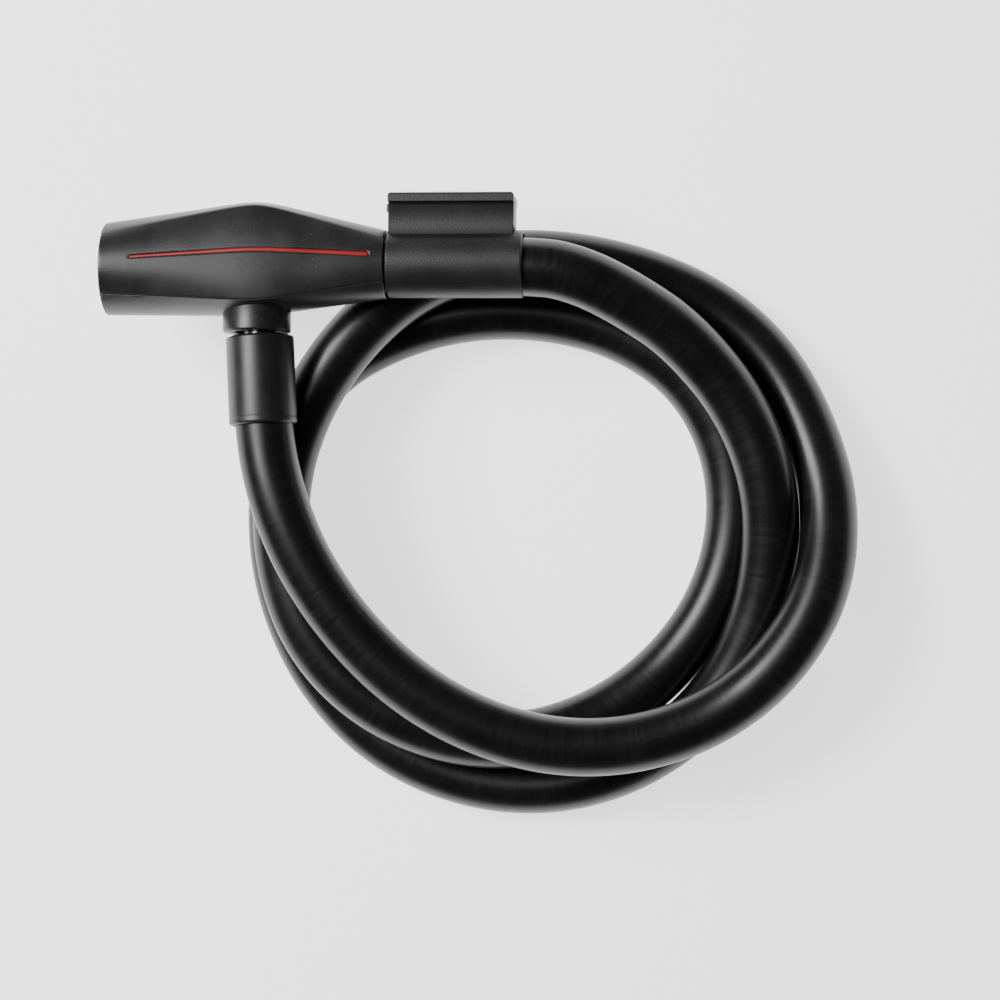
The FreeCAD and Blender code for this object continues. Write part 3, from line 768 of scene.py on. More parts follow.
@dataclass(frozen=True)
class HeadForm:
    """Outer form of the head: round ends, a soft ridge between, and four creases.

    Attributes:
        length: From the key face to the cable end.
        key_end: Radius at the key face.
        cable_end: Radius at the cable end.
        ridge_x: Where the ridge stands.
        crown: Height of the ridge's top.
        keel: Depth of the ridge's underside.
        front: Half thickness at the ridge.
        key_drop: How far the round end's middle lies below the axis at the key face.
        softness: Larger is a rounder ridge.
        top_crease: Height and reach of the upper creases at the ridge.
        low_crease: Depth and reach of the lower creases at the ridge.
        top_angle: Place of the upper creases on the round ends, in degrees from straight up.
        low_angles: Place of the lower creases at the key end and the cable end, in degrees from straight down.
    """

    length: float = 73.0 * MM
    key_end: float = 12.0 * MM
    cable_end: float = 8.8 * MM
    ridge_x: float = 40.4 * MM
    crown: float = 16.7 * MM
    keel: float = 13.2 * MM
    front: float = 11.3 * MM
    key_drop: float = 1.0 * MM
    softness: float = 0.13
    top_crease: Spot = (15.2 * MM, 7.9 * MM)
    low_crease: Spot = (10.5 * MM, 11.0 * MM)
    top_angle: float = 44.0
    low_angles: tuple[float, float] = (51.0, 56.0)

    def share(self, x: float) -> float:
        """Returns 0 at both ends and nearly 1 at the ridge."""
        left, right = x / self.ridge_x, (self.length - x) / (self.length - self.ridge_x)
        return -self.softness * math.log(math.exp(-left / self.softness) + math.exp(-right / self.softness))

    def radius(self, x: float) -> float:
        """Returns the round section's radius at x."""
        return self.key_end + (self.cable_end - self.key_end) * x / self.length

    def spot(self, x: float, angle: float, ridge: Spot) -> Spot:
        """Finds a point of the section that is on the round at the ends and at a given place on the ridge.

        Args:
            x: Place along the head.
            angle: Degrees from straight up, towards the front.
            ridge: Height and reach at the ridge.

        Returns:
            Height and reach at x.
        """
        direction = (math.cos(math.radians(angle)), math.sin(math.radians(angle)))
        share, base = self.share(x), self.radius(self.ridge_x)
        height, reach = (self.radius(x) * direction[k] + share * (ridge[k] - base * direction[k]) for k in (0, 1))
        return height - self.key_drop * max(1 - x / self.ridge_x, 0.0), reach

    def corners(self, x: float, side: int) -> tuple[Spot, Spot, Spot]:
        """Finds the upper crease, the bulge and the lower crease on one side.

        Args:
            x: Place along the head.
            side: 1 for the front, -1 for the back.

        Returns:
            The three points.
        """
        key_end, cable_end = self.low_angles
        low = 180 - key_end - (cable_end - key_end) * x / self.length
        middle = (self.top_angle + low) / 2
        top_y, top_z = self.top_crease
        low_y, low_z = self.low_crease
        return (self.spot(x, side * self.top_angle, (top_y, side * top_z)),
                self.spot(x, side * middle, ((top_y - low_y) / 2, side * self.front)),
                self.spot(x, side * low, (-low_y, side * low_z)))

    def on_arc(self, x: float, points: tuple[Spot, Spot, Spot], share: float) -> Vector:
        """Returns the point at a share of the arc through three points of the section at x."""
        centre, radius, first, turn = arc_through(*points)
        angle = first + turn * share
        return Vector((x, centre.x + radius * math.cos(angle), centre.y + radius * math.sin(angle)))

    def on_front(self, x: float, height: float) -> Vector:
        """Returns the point of the front panel at that height."""
        centre, radius, _, _ = arc_through(*self.corners(x, 1))
        reach = math.sqrt(max(radius * radius - (height - centre.x) ** 2, 0.0))
        return Vector((x, height, centre.y + reach))


@dataclass
class Head:
    """The covers, their coloured strip and the collar round the plug's socket.

    Attributes:
        form: The outer form.
        seam: Half the gap between the covers.
        wall: How far the covers' edges turn in.
        edge: Rounding of the covers' edges.
        rim: Rounding of the rims at both ends.
        crease: Rounding of the creases.
        key_hole: Radius of the opening in the key face.
        cable_hole: Radius of the opening at the cable end.
        strip_span: Start and end of the coloured strip.
        strip_widths: Its width at its start and its end.
        strip_heights: Its height above the axis, carried on to both ends of the head.
        strip_rise: What the ridge adds to its height.
        strip_slant: How much its left end leans.
        strip_depth: Depth of its groove.
        strip_tuck: How far its right end goes on under the panel.
        collar_x: Place of the collar along the head.
        collar_r: Outer radius of the collar.
        collar_bore: Inner radius of the collar.
        collar_span: Where the collar starts and ends below the axis.
        collar_lip: Chamfer inside the collar's end.
        collar_round: Rounding outside the collar's end.
        roof_steps: Faces from the top seam to the upper crease.
        panel_steps: Faces of the front panel above and below the strip.
        round_steps: Faces of the underside, and of the back.
        run_steps: Faces along the head before, beside and after the strip.
        strip_rows: Faces across the strip.
        strip_gap: Gap on each side of the strip.
        strip_sink: How far the strip's edges lie below the panel.
        strip_bow: How much its middle stands above its edges.
    """

    form: HeadForm = field(default_factory=HeadForm)
    seam: float = 0.09 * MM
    wall: float = 1.4 * MM
    edge: float = 0.2 * MM
    rim: float = 0.2 * MM
    crease: float = 0.45 * MM
    key_hole: float = 8.65 * MM
    cable_hole: float = 7.6 * MM
    strip_span: tuple[float, float] = (8.0 * MM, 69.4 * MM)
    strip_widths: tuple[float, float] = (0.65 * MM, 1.1 * MM)
    strip_heights: tuple[float, float] = (0.2 * MM, 1.5 * MM)
    strip_rise: float = 1.9 * MM
    strip_slant: float = 0.6 * MM
    strip_depth: float = 0.4 * MM
    strip_tuck: float = 0.12 * MM
    collar_x: float = 39.3 * MM
    collar_r: float = 8.8 * MM
    collar_bore: float = 5.4 * MM
    collar_span: tuple[float, float] = (9.0 * MM, 17.6 * MM)
    collar_lip: float = 0.9 * MM
    collar_round: float = 0.6 * MM
    roof_steps: int = 10
    panel_steps: tuple[int, int] = (14, 22)
    round_steps: int = 24
    run_steps: tuple[int, int, int] = (10, 92, 8)
    strip_rows: int = 4
    strip_gap: float = 0.02 * MM
    strip_sink: float = 0.03 * MM
    strip_bow: float = 0.05 * MM

    def columns(self) -> list[float]:
        """Returns the places along the head where the covers have a ring of vertices."""
        start, end = self.strip_span
        before, beside, after = self.run_steps
        return even_steps((0.0, before), (start, beside), (end, after), (self.form.length, 0))

    def strip_line(self, x: float) -> float:
        """Returns the height of the strip's middle at x."""
        start, end = self.strip_heights
        return start + (end - start) * x / self.form.length + self.strip_rise * self.form.share(x)

    def strip_half(self, x: float) -> float:
        """Returns half the strip's width at x."""
        start, end = self.strip_span
        share = min(max((x - start) / (end - start), 0.0), 1.0)
        narrow, wide = self.strip_widths
        return (narrow + (wide - narrow) * share) / 2

    def front_rows(self, x: float) -> list[Vector]:
        """Lists the front cover's points at x, from the top seam down to the lower crease."""
        top, _, low = self.form.corners(x, 1)
        back_top = self.form.corners(x, -1)[0]
        steps = self.roof_steps
        crown = self.form.spot(x, 0, (self.form.crown, 0))
        roof = [self.form.on_arc(x, (back_top, crown, top), 0.5 + 0.5 * step / steps) for step in range(steps)]
        roof[0].z += self.seam
        middle, half = self.strip_line(x), self.strip_half(x)
        above, below = self.panel_steps
        heights = even_steps((top[0], above), (middle + half, 1), (middle - half, below), (low[0] + self.seam, 0))
        return roof + [self.form.on_front(x, height) for height in heights]

    def rear_rows(self, x: float) -> list[Vector]:
        """Lists the rear cover's points at x, from the lower crease round the back to the top seam."""
        top, _, low = self.form.corners(x, 1)
        back_top, back_bulge, back_low = self.form.corners(x, -1)
        crown = self.form.spot(x, 0, (self.form.crown, 0))
        keel = self.form.spot(x, 180, (-self.form.keel, 0))
        steps, last = self.round_steps, self.roof_steps
        under = [self.form.on_arc(x, (low, keel, back_low), step / steps) for step in range(steps)]
        back = [self.form.on_arc(x, (back_low, back_bulge, back_top), step / steps) for step in range(steps)]
        roof = [self.form.on_arc(x, (back_top, crown, top), 0.5 * step / last) for step in range(last + 1)]
        under[0].y -= self.seam
        roof[-1].z -= self.seam
        return under + back + roof

    def turn_in(self, sheet: Sheet, edges: list[Edge]) -> None:
        """Turns a cover's boundary in: at the ends to their openings, and along the seams by the wall.

        Args:
            sheet: The cover.
            edges: Its boundary.
        """
        for vertex in extruded(sheet.mesh, edges):
            reach = math.hypot(vertex.co.y, vertex.co.z)
            if vertex.co.x < TINY:
                keep = self.key_hole / reach
            elif vertex.co.x > self.form.length - TINY:
                keep = self.cable_hole / reach
            else:
                keep = 1 - self.wall / reach
            vertex.co.y *= keep
            vertex.co.z *= keep

    def cover(self, rows: Callable[[float], list[Vector]], creases: Sequence[int], strip_row: int | None) -> Shape:
        """Builds one cover.

        Args:
            rows: Its points at a place along the head.
            creases: Rows that are creases.
            strip_row: Row of the strip's upper edge, or None.

        Returns:
            The shape.
        """
        places = self.columns()
        points = [rows(x) for x in places]
        sheet = Sheet(len(places) - 1, len(points[0]) - 1)
        sheet.lay(lambda column, row: points[column][row])
        outline = open_edges(sheet.mesh)
        if strip_row is not None:
            self.cut_strip(sheet, places, strip_row)
        self.turn_in(sheet, outline)
        ends = [e for e in outline if all(v.co.x < TINY or v.co.x > self.form.length - TINY for v in e.verts)]
        seams = [e for e in outline if e not in set(ends)]
        folds = [edge for row in creases for edge in sheet.line(row)]
        for edges, width in ((folds, self.crease), (seams, self.edge), (ends, self.rim)):
            round_edges(sheet.mesh, [edge for edge in edges if edge.is_valid], width, 3)
        return sheet.mesh

    def cut_strip(self, sheet: Sheet, places: list[float], row: int) -> None:
        """Sinks the groove that holds the strip.

        Args:
            sheet: The front cover.
            places: Its columns.
            row: Row of the strip's upper edge.
        """
        start = min(range(len(places)), key=lambda k: abs(places[k] - self.strip_span[0]))
        end = min(range(len(places)), key=lambda k: abs(places[k] - self.strip_span[1]))
        sheet.at[start, row].co.x += self.strip_slant
        inside = {sheet.at[c, r] for c in range(start, end + 1) for r in (row, row + 1)}
        faces = [face for face in sheet.mesh.faces if all(vertex in inside for vertex in face.verts)]
        ring = [e for e in {e for f in faces for e in f.edges} if sum(f in e.link_faces for f in faces) == 1]
        bmesh.ops.delete(sheet.mesh, geom=faces, context="FACES_ONLY")
        ring = sorted((e for e in ring if e.is_valid), key=lambda e: e.index)
        for vertex in extruded(sheet.mesh, ring):
            vertex.co.z -= self.strip_depth

    def strip(self) -> Shape:
        """Builds the strip as a closed bar that stands just below the panel."""
        start, end = self.strip_span
        places = even_steps((start, self.run_steps[1]), (end + self.strip_tuck, 0))
        rows = self.strip_rows
        sheet = Sheet(len(places) - 1, rows)

        def surface(column: int, row: int) -> Vector:
            """Returns a point of the strip's face."""
            x = places[column]
            height = self.strip_line(x) + (0.5 - row / rows) * 2 * (self.strip_half(x) - self.strip_gap)
            point = self.form.on_front(x, height)
            point.x += self.strip_slant * (1 - row / rows) if column == 0 else 0.0
            crown = 1 - (abs(row - rows / 2) / (rows / 2)) ** 2
            point.z += -self.strip_sink + self.strip_bow * crown
            return point

        sheet.lay(surface)
        for vertex in extruded(sheet.mesh, open_edges(sheet.mesh)):
            vertex.co.z -= self.strip_depth * 0.9
        bmesh.ops.holes_fill(sheet.mesh, edges=open_edges(sheet.mesh), sides=0)
        return sheet.mesh

    def collar(self) -> Shape:
        """Builds the collar that stands out of the underside."""
        start, end = self.collar_span
        profile = [(self.collar_bore, start), (self.collar_r, start), (self.collar_r, end),
                   (self.collar_bore + self.collar_lip, end), (self.collar_bore, end - self.collar_lip)]
        mesh = turned(profile, Vector((0, -1, 0)))
        round_sharp(mesh, self.collar_round, 4, lambda edge: all(v.co.y < -end + 0.1 * MM for v in edge.verts))
        bmesh.ops.translate(mesh, vec=(self.collar_x, 0, 0), verts=mesh.verts)
        return mesh

    def build(self, finishes: Finishes) -> list[Piece]:
        """Builds and dresses the head's pieces.

        Args:
            finishes: The finishes.

        Returns:
            The pieces.
        """
        top, low = self.roof_steps, self.round_steps
        front_form = self.cover(self.front_rows, (top,), top + self.panel_steps[0])
        front = finish_mesh(front_form, "front_shell", HEAD_FRAME)
        rear = finish_mesh(self.cover(self.rear_rows, (low, 2 * low), None), "rear_shell", HEAD_FRAME)
        strip = finish_mesh(self.strip(), "accent_inlay", HEAD_FRAME)
        collar = finish_mesh(self.collar(), "collar_ring", HEAD_FRAME)
        made = ((front, finishes.cover, Slot.COVER, "front_cover"), (rear, finishes.cover, Slot.COVER, "rear_cover"),
                (strip, finishes.inlay, Slot.ACCENT, "accent_strip"),
                (collar, finishes.collar, Slot.CAP, "socket_collar"))
        for piece, finish, slot, node in made:
            finishes.dress(piece, finish)
            settle(piece, Body.HEAD, slot, node)
        return [front, rear, strip, collar]


def settle(piece: Piece, body: Body, slot: Slot, *nodes: str) -> None:
    """Makes a piece ride on its body in place of its nodes.

    Args:
        piece: The piece.
        body: The body that it rides on.
        slot: The record's slot of its finish; not used.
        *nodes: The nodes that it stands for.
    """
    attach(piece, body.value)
    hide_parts(*nodes)
    LOG.info("%s rides on %s for %s", piece.name, body.value, ", ".join(nodes))


# ------------------------------------------------------------------------------------------------ plug and adapter
@dataclass
class PlugGrip:
    """The moulded cap round the plug's pin, ferrule and sheath.

    Attributes:
        start: From the head's axis to the cap's edge.
        length: Length of the cap.
        radius: Its outer radius.
        step_radius: Radius of the raised step round the pin.
        step: Height of the step.
        pin_hole: Radius of the hole for the pin.
        bore: Radius of the bore for the sheath.
        roof: Thickness over the flange.
        lip: Rounding of the open end.
        rim: Rounding of the edge round the pin.
        groove_up: From the open end to the fine groove round the cap.
        groove: Depth, slope and width of that groove.
    """

    start: float = 18.7 * MM
    length: float = 22.8 * MM
    radius: float = 8.8 * MM
    step_radius: float = 7.4 * MM
    step: float = 0.4 * MM
    pin_hole: float = 4.05 * MM
    bore: float = 7.56 * MM
    roof: float = 1.8 * MM
    lip: float = 0.8 * MM
    rim: float = 0.5 * MM
    groove_up: float = 2.2 * MM
    groove: Triple = (0.06 * MM, 0.12 * MM, 0.42 * MM)

    def shape(self) -> Shape:
        """Builds the cap."""
        end = self.start + self.length
        band = end - self.groove_up
        depth, slope, width = self.groove
        sunk = self.radius - depth
        profile = [(self.pin_hole, self.start - self.step), (self.step_radius, self.start - self.step),
                   (self.step_radius, self.start), (self.radius, self.start), (self.radius, band),
                   (sunk, band + slope), (sunk, band + width - slope), (self.radius, band + width),
                   (self.radius, end), (self.bore, end), (self.bore, self.start + self.roof),
                   (self.pin_hole, self.start + self.roof)]
        mesh = turned(profile, Vector((0, -1, 0)))

        def outer(edge: Edge, place: float) -> bool:
            """Tells whether an edge is on the outer rim at that place."""
            rim = self.radius - TINY
            return all(abs(v.co.y + place) < TINY and math.hypot(v.co.x, v.co.z) > rim for v in edge.verts)

        round_sharp(mesh, self.lip, 5, lambda edge: outer(edge, end))
        round_sharp(mesh, self.rim, 4, lambda edge: outer(edge, self.start))
        return mesh

    def build(self, finishes: Finishes) -> Piece:
        """Builds and dresses the cap.

        Args:
            finishes: The finishes.

        Returns:
            The piece.
        """
        piece = finish_mesh(self.shape(), "plug_grip", PLUG_FRAME)
        finishes.dress(piece, finishes.cap)
        settle(piece, Body.PLUG, Slot.CAP, "plug_cap")
        return piece


@dataclass
class FrameAdapter:
    """The slip-on sleeve and the tongue that a frame bracket takes.

    Attributes:
        start: Where the sleeve starts along the head's axis.
        length: Length of the sleeve.
        radius: Outer radius of the sleeve.
        bore: Radius of the sleeve's bore.
        mouth: Length and widening of the bore's mouth.
        tongue: Start and end of the tongue.
        top: Height of the tongue's top.
        plate: Thickness of its plate.
        plate_half: Half width of its plate.
        web_half: Half width of its web.
        nub: Reach, height and width of the latch nub.
        web_foot: Where the web starts inside the sleeve's wall, above the axis.
        overlap: How far one block goes into the next.
        rim: Rounding of the sleeve's ends.
        web_round: Rounding of the web's upright edges.
        plate_round: Rounding round the plate's top.
        fine_round: Rounding of the edges that are left.
    """

    start: float = 73.4 * MM
    length: float = 35.0 * MM
    radius: float = 8.6 * MM
    bore: float = 7.56 * MM
    mouth: tuple[float, float] = (5.0 * MM, 0.4 * MM)
    tongue: tuple[float, float] = (73.7 * MM, 106.1 * MM)
    top: float = 18.0 * MM
    plate: float = 2.5 * MM
    plate_half: float = 5.9 * MM
    web_half: float = 4.4 * MM
    nub: Triple = (0.7 * MM, 2.0 * MM, 4.0 * MM)
    web_foot: float = 3.0 * MM
    overlap: float = 0.3 * MM
    rim: float = 0.5 * MM
    web_round: float = 0.35 * MM
    plate_round: float = 0.7 * MM
    fine_round: float = 0.25 * MM

    def sleeve(self) -> Shape:
        """Builds the sleeve with its bell mouth."""
        end = self.start + self.length
        length, widening = self.mouth
        profile = [(self.bore, self.start), (self.radius, self.start), (self.radius, end),
                   (self.bore + widening, end), (self.bore, end - length)]
        mesh = turned(profile, Vector((1, 0, 0)))
        outside = self.radius - TINY
        round_sharp(mesh, self.rim, 4, lambda edge: all(math.hypot(v.co.y, v.co.z) > outside for v in edge.verts))
        return mesh

    def add_block(self, target: Shape, shape: Shape) -> None:
        """Adds a shape to the target and frees it.

        Args:
            target: The shape that grows.
            shape: The shape to add.
        """
        data = bpy.data.meshes.new("part")
        shape.to_mesh(data)
        shape.free()
        target.from_mesh(data)
        bpy.data.meshes.remove(data)

    def tongue_shape(self) -> Shape:
        """Builds the web, the plate on it and the nub at its head end."""
        low = self.top - self.plate
        start, end = self.tongue
        mesh = bmesh.new()
        web = block((start, end), (self.web_foot, low + self.overlap), (-self.web_half, self.web_half))
        round_sharp(web, self.web_round, 3, lambda edge: abs(edge.verts[0].co.y - edge.verts[1].co.y) > 1 * MM)
        plate = block((start, end), (low, self.top), (-self.plate_half, self.plate_half))
        round_sharp(plate, self.plate_round, 4, lambda edge: all(v.co.y > self.top - TINY for v in edge.verts))
        round_sharp(plate, self.fine_round, 3)
        reach, height, width = self.nub
        nub = block((start - reach, start + 1 * MM), (low - height, low), (-width / 2, width / 2))
        round_sharp(nub, self.fine_round, 3)
        for part in (web, plate, nub):
            self.add_block(mesh, part)
        return mesh

    def build(self, finishes: Finishes) -> list[Piece]:
        """Builds and dresses the adapter's pieces.

        Args:
            finishes: The finishes.

        Returns:
            The pieces.
        """
        sleeve = finish_mesh(self.sleeve(), "adapter_sleeve", HEAD_FRAME)
        tongue = finish_mesh(self.tongue_shape(), "adapter_tongue", HEAD_FRAME)
        for piece in (sleeve, tongue):
            finishes.dress(piece, finishes.adapter)
            settle(piece, Body.ADAPTER, Slot.ADAPTER, "frame_adapter")
        return [sleeve, tongue]


# ------------------------------------------------------------------------------------------------ the cable
@dataclass
class Cable:
    """The sheathed cable, from the head's fixed end round its loose coil to the plug.

    Attributes:
        diameter: Of the sheath.
        plug_start: Where the sheath starts in the plug, from the head's axis.
        lead: Straight run out of the plug.
        head_end: Where the sheath ends in the head.
        exit: Where the cable leaves the head; not used.
        length: Its real length; not used.
        around: Faces round the sheath.
        held: Length at the plug that moves with it.
        yields: Length over which the rest follows.
        steps: Points of the smooth line from one route point to the next.
        reach_layer: Name of the attribute that holds each vertex's distance from the head.
        route: The points that its line is drawn with, from the plug to the adapter, in millimetres.
    """

    diameter: float = 15.0 * MM
    plug_start: float = 30.0 * MM
    lead: float = 15.0 * MM
    head_end: Triple = (67.0 * MM, 0.0, 0.0)
    exit: Triple = (73.0 * MM, 0.0, 0.0)
    length: float = 1.19
    around: int = 48
    held: float = 14.0 * MM
    yields: float = 300.0 * MM
    steps: int = 18
    reach_layer: str = "from_head"
    route: tuple[Triple, ...] = (
        (45.3, -61.3, 3.4), (52.0, -77.3, 3.2), (62.9, -93.5, 2.2), (77.5, -108.0, 1.0),
        (96.4, -119.1, -0.6), (117.5, -124.7, -2.4), (139.0, -123.6, -4.8), (159.0, -116.0, -7.0),
        (175.2, -102.0, -6.4), (185.8, -83.5, -9.4), (187.9, -62.0, -16.8), (182.6, -42.3, -22.6),
        (173.1, -24.0, -26.4), (158.0, -9.8, -27.6), (139.0, -1.2, -25.4), (118.0, 3.2, -20.9),
        (97.5, 2.9, -17.5), (78.0, -3.8, -15.8), (61.5, -18.2, -12.5), (49.0, -37.2, -12.8),
        (43.0, -58.0, -12.8), (44.2, -79.5, -12.6), (51.6, -98.8, -12.6), (66.5, -114.0, -13.2),
        (86.2, -123.2, -15.8), (107.5, -125.0, -19.0), (128.0, -118.4, -24.0), (145.3, -105.6, -27.6),
        (157.9, -87.8, -28.0), (163.4, -67.0, -28.0), (161.2, -46.2, -28.0), (151.0, -28.0, -28.0),
        (133.5, -16.0, -28.0), (113.2, -10.6, -28.0), (92.0, -10.4, -28.0), (71.4, -15.6, -28.0),
        (52.4, -26.4, -28.0), (41.6, -44.2, -28.0), (38.8, -65.7, -28.0), (41.7, -87.5, -28.0),
        (51.4, -108.6, -28.0), (67.3, -125.4, -28.0), (88.3, -135.6, -28.0), (111.0, -138.3, -28.0),
        (133.3, -133.0, -27.6), (152.6, -120.0, -25.0), (165.8, -101.2, -20.8), (172.2, -79.1, -17.4),
        (172.1, -56.1, -14.0), (163.6, -34.7, -12.8), (148.9, -17.6, -9.2), (135.0, -8.6, -4.6),
        (122.8, -2.6, -1.5), (110.5, 0.0, 0.0))

    def line(self) -> list[Vector]:
        """Reads the points of the cable's smooth line, from the head to the plug."""
        ends = [PLUG_FRAME @ Vector((0, -reach, 0)) for reach in (self.plug_start, self.plug_start + self.lead)]
        points = ends + [Vector(point) * MM for point in self.route] + [Vector(self.head_end)]
        curve = bpy.data.curves.new("cable_line", "CURVE")
        curve.dimensions = "3D"
        curve.resolution_u = self.steps
        spline = curve.splines.new("NURBS")
        spline.points.add(len(points) - 1)
        for target, point in zip(spline.points, reversed(points)):
            target.co = (*point, 1.0)
        spline.order_u = 3
        spline.use_endpoint_u = True
        holder = bpy.data.objects.new("cable_line", curve)
        mesh = bpy.data.meshes.new_from_object(holder)
        line = [vertex.co.copy() for vertex in mesh.vertices]
        bpy.data.meshes.remove(mesh)
        bpy.data.objects.remove(holder)
        bpy.data.curves.remove(curve)
        return line

    def rings(self, line: list[Vector]) -> list[tuple[Vector, Vector, Vector]]:
        """Finds each ring's centre and its two radial directions, without twist.

        Args:
            line: The cable's line.

        Returns:
            Centre, first and second direction of each ring.
        """
        rings = []
        side = Vector((0, 0, 1))
        for index, point in enumerate(line):
            before, after = line[max(index - 1, 0)], line[min(index + 1, len(line) - 1)]
            tangent = (after - before).normalized()
            side = (side - tangent * side.dot(tangent)).normalized()
            rings.append((point, side, tangent.cross(side)))
        return rings

    def jacket(self, line: list[Vector], along: list[float]) -> Shape:
        """Builds the sheath as a tube with closed ends, mapped in metres along and round it.

        Args:
            line: The cable's line.
            along: Distance of each of its points from the head.

        Returns:
            The shape.
        """
        rings = self.rings(line)
        radius = self.diameter / 2
        sheet = Sheet(len(line) - 1, self.around)
        reach = sheet.mesh.verts.layers.float.new(self.reach_layer)
        layer = sheet.mesh.loops.layers.uv.new("run")

        def surface(column: int, row: int) -> Vector:
            """Returns a point of the sheath."""
            centre, up, across = rings[column]
            angle = FULL_TURN * row / self.around
            return centre + radius * (math.cos(angle) * up + math.sin(angle) * across)

        sheet.lay(surface)
        where = {vertex: place for place, vertex in sheet.at.items()}
        for face in sheet.mesh.faces:
            for loop in face.loops:
                column, row = where[loop.vert]
                loop[layer].uv = (along[column], radius * FULL_TURN * row / self.around)
        for (column, _), vertex in sheet.at.items():
            vertex[reach] = along[column]
        bmesh.ops.remove_doubles(sheet.mesh, verts=sheet.mesh.verts, dist=MERGE)
        bmesh.ops.holes_fill(sheet.mesh, edges=open_edges(sheet.mesh), sides=0)
        return sheet.mesh

    def follow_plug(self, piece: Piece, line: list[Vector], along: list[float]) -> None:
        """Lets the sheath's plug end move with the plug, and the rest less and less.

        Args:
            piece: The sheath.
            line: The cable's line.
            along: Distance of each of its points from the head.
        """
        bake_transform(piece, Body.PLUG.value, Body.HEAD.value, start=tuple(line[-1]), end=tuple(line[len(line) * 3 // 4]))
        weights = piece.data.attributes["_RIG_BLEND"].data
        reaches = piece.data.attributes[self.reach_layer].data
        for weight, reach in zip(weights, reaches):
            share = max(0.0, min(1.0, (along[-1] - reach.value - self.held) / self.yields))
            weight.value = share * share * (3 - 2 * share)

    def build(self, finishes: Finishes, plug_pieces: list[Piece]) -> Piece:
        """Args:
            finishes: The finishes.
            plug_pieces: What is on its far end; not used.

        Returns:
            The piece.
        """
        line = self.line()
        along = [0.0]
        for before, after in zip(line, line[1:]):
            along.append(along[-1] + (after - before).length)
        piece = finish_mesh(self.jacket(line, along), "cable_jacket", Matrix.Identity(4), even=False)
        finishes.dress(piece, finishes.sheath)
        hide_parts("cable_sheath", "cable_strand")
        self.follow_plug(piece, line, along)
        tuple(self.exit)
        [tuple(point) for point in line]
        LOG.info("%s is %.3f m long over %d points", piece.name, along[-1], len(line))
        return piece


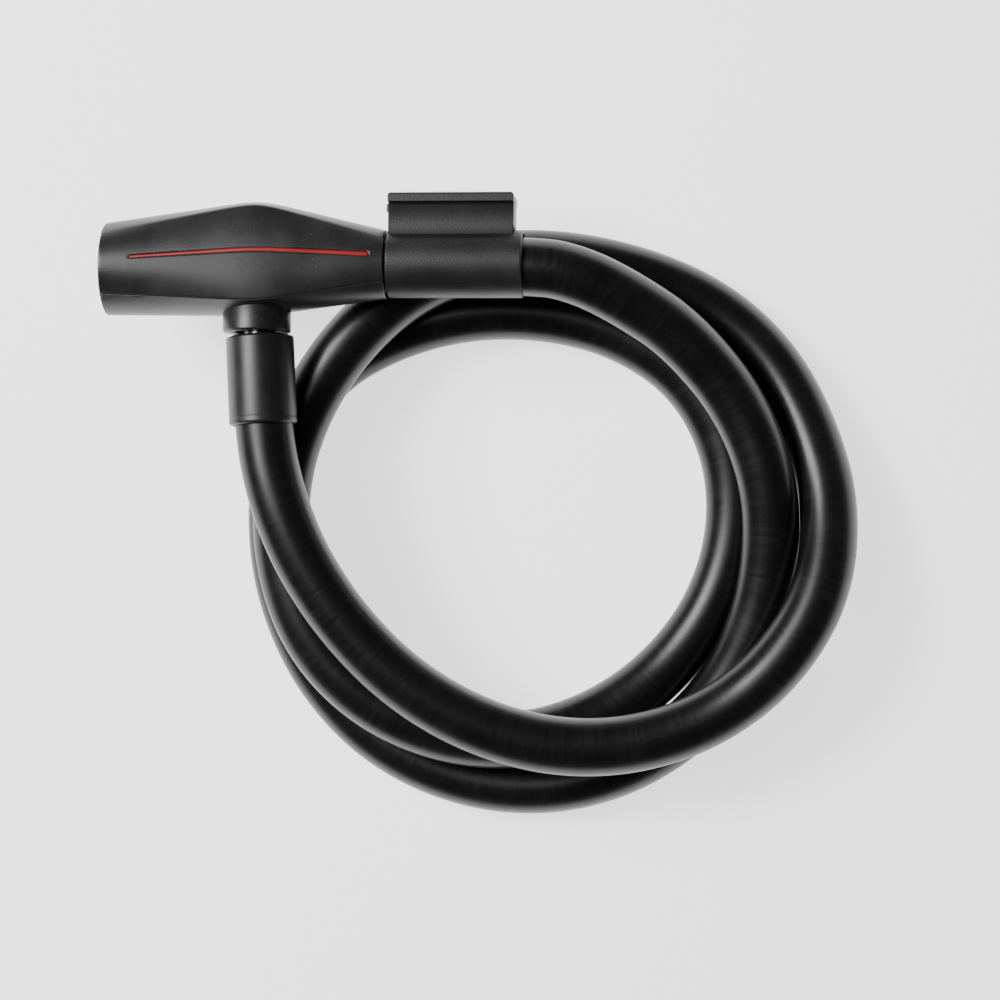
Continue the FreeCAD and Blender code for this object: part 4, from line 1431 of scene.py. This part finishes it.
# ------------------------------------------------------------------------------------------------ studio
@dataclass
class Studio:
    """A pale floor, soft boxes and the camera.

    Attributes:
        floor_z: Height of the table.
        floor_glow: Light that the floor itself gives, as a backlit table does.
        around: Strength of the even light around.
        target: What the camera looks at.
        distance: From the target to the camera.
        tilts: The camera's turns about X, Y and its line of sight, in degrees.
        lens: Its focal length, in millimetres.
        sensor: Width of its sensor, in millimetres.
        middle: Middle of the floor, which the lamps face.
        floor_size: Half the floor's width.
        lamps: Name, place, width and power in watts of each soft box.
    """

    floor_z: float = -35.5 * MM
    floor_glow: float = 1.7
    around: float = 0.06
    target: Triple = (101.5 * MM, -60.68 * MM, -12.0 * MM)
    distance: float = 683.6 * MM
    tilts: Triple = (-0.88, 4.93, 0.31)
    lens: float = 94.0
    sensor: float = 36.0
    middle: tuple[float, float] = (0.1, -0.06)
    floor_size: float = 2.5
    lamps: tuple[tuple[str, Triple, float, float], ...] = (
        ("upper_left_box", (-0.62, 0.30, 0.95), 0.55, 22.0),
        ("top_box", (-0.30, 0.1, 1.35), 0.4, 2.0))

    def floor(self) -> None:
        """Lays the floor."""
        mesh = bmesh.new()
        bmesh.ops.create_grid(mesh, x_segments=8, y_segments=8, size=self.floor_size)
        place = Matrix.Translation((*self.middle, self.floor_z - 0.05 * MM))
        piece = finish_mesh(mesh, "floor", place, even=False)
        material, desk, shader = new_material("pale_floor")
        coordinates = desk.add("ShaderNodeTexCoord")
        cloud = desk.noise(coordinates.outputs["Object"], 3.0, 2.0)
        desk.join(desk.blend(cloud, (0.88, 0.88, 0.88, 1.0), (0.92, 0.92, 0.92, 1.0)), shader.inputs["Base Color"])
        shader.inputs["Roughness"].default_value = 0.9
        shader.inputs["Specular IOR Level"].default_value = 0.1
        shader.inputs["Emission Color"].default_value = (1.0, 1.0, 1.0, 1.0)
        shader.inputs["Emission Strength"].default_value = self.floor_glow
        piece.data.materials.append(material)

    def lamp(self, name: str, at: Triple, size: float, power: float) -> None:
        """Adds a soft box that faces the middle of the coil.

        Args:
            name: The lamp's name.
            at: Where it stands.
            size: Its width, which is its height too.
            power: Its power in watts.
        """
        data = bpy.data.lights.new(name, "AREA")
        data.shape = "RECTANGLE"
        data.size = data.size_y = size
        data.energy = power
        lamp = bpy.data.objects.new(name, data)
        lamp.location = at
        towards = Vector((*self.middle, 0.0)) - Vector(at)
        lamp.rotation_euler = towards.to_track_quat("-Z", "Y").to_euler()
        bpy.context.scene.collection.objects.link(lamp)

    def light(self) -> None:
        """Sets the soft boxes and the even light around."""
        for lamp in self.lamps:
            self.lamp(*lamp)
        world = bpy.data.worlds.new("studio")
        world.use_nodes = True
        world.node_tree.nodes["Background"].inputs["Color"].default_value = (1.0, 1.0, 1.0, 1.0)
        world.node_tree.nodes["Background"].inputs["Strength"].default_value = self.around
        bpy.context.scene.world = world

    def camera(self) -> None:
        """Places the camera, which looks almost straight down."""
        data = bpy.data.cameras.new("camera")
        data.lens = self.lens
        data.sensor_width = self.sensor
        about_x, about_y, about_sight = (math.radians(tilt) for tilt in self.tilts)
        turn = (Matrix.Rotation(about_x, 4, "X") @ Matrix.Rotation(about_y, 4, "Y")
                @ Matrix.Rotation(about_sight, 4, "Z"))
        camera = bpy.data.objects.new("camera", data)
        camera.matrix_world = Matrix.Translation(self.target) @ turn @ Matrix.Translation((0, 0, self.distance))
        bpy.context.scene.collection.objects.link(camera)
        bpy.context.scene.camera = camera

    def build(self) -> None:
        """Sets up the floor, the light and the camera."""
        self.floor()
        self.light()
        self.camera()


# ------------------------------------------------------------------------------------------------ the whole lock
def dress_nodes(nodes: dict[str, Piece], finishes: Finishes) -> None:
    """Gives every carried-over node its finish.

    Args:
        nodes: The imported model's nodes.
        finishes: The finishes.
    """
    wanted = {
        "face_ring": finishes.cover, "lock_body": finishes.zinc, "cylinder_barrel": finishes.brass,
        "cylinder_core": finishes.brass, "wafer_tumblers": finishes.brass, "tumbler_springs": finishes.steel,
        "stop_pin": finishes.steel, "locking_cam": finishes.steel, "fixed_end_ferrule": finishes.steel,
        "fixed_end_pin": finishes.steel, "plug_pin": finishes.pin, "plug_ferrule": finishes.steel,
        "plug_cross_pin": finishes.steel,
    }
    for name, finish in wanted.items():
        if name in nodes:
            finishes.dress(nodes[name], finish)
            LOG.info("%s keeps its shape and takes %s", name, finish.name)


def main() -> None:
    """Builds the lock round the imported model."""
    logging.basicConfig(level=logging.INFO, format="%(name)s: %(message)s")
    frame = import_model()
    finishes = Finishes()
    Studio().build()
    grip = PlugGrip().build(finishes)
    nodes = frame["nodes"]
    on_plug = [grip] + [nodes[name] for name in ("plug_pin", "plug_ferrule", "plug_cross_pin")]
    Cable().build(finishes, on_plug)
    Head().build(finishes)
    FrameAdapter().build(finishes)
    dress_nodes(nodes, finishes)


if __name__ == "__main__":
    main()
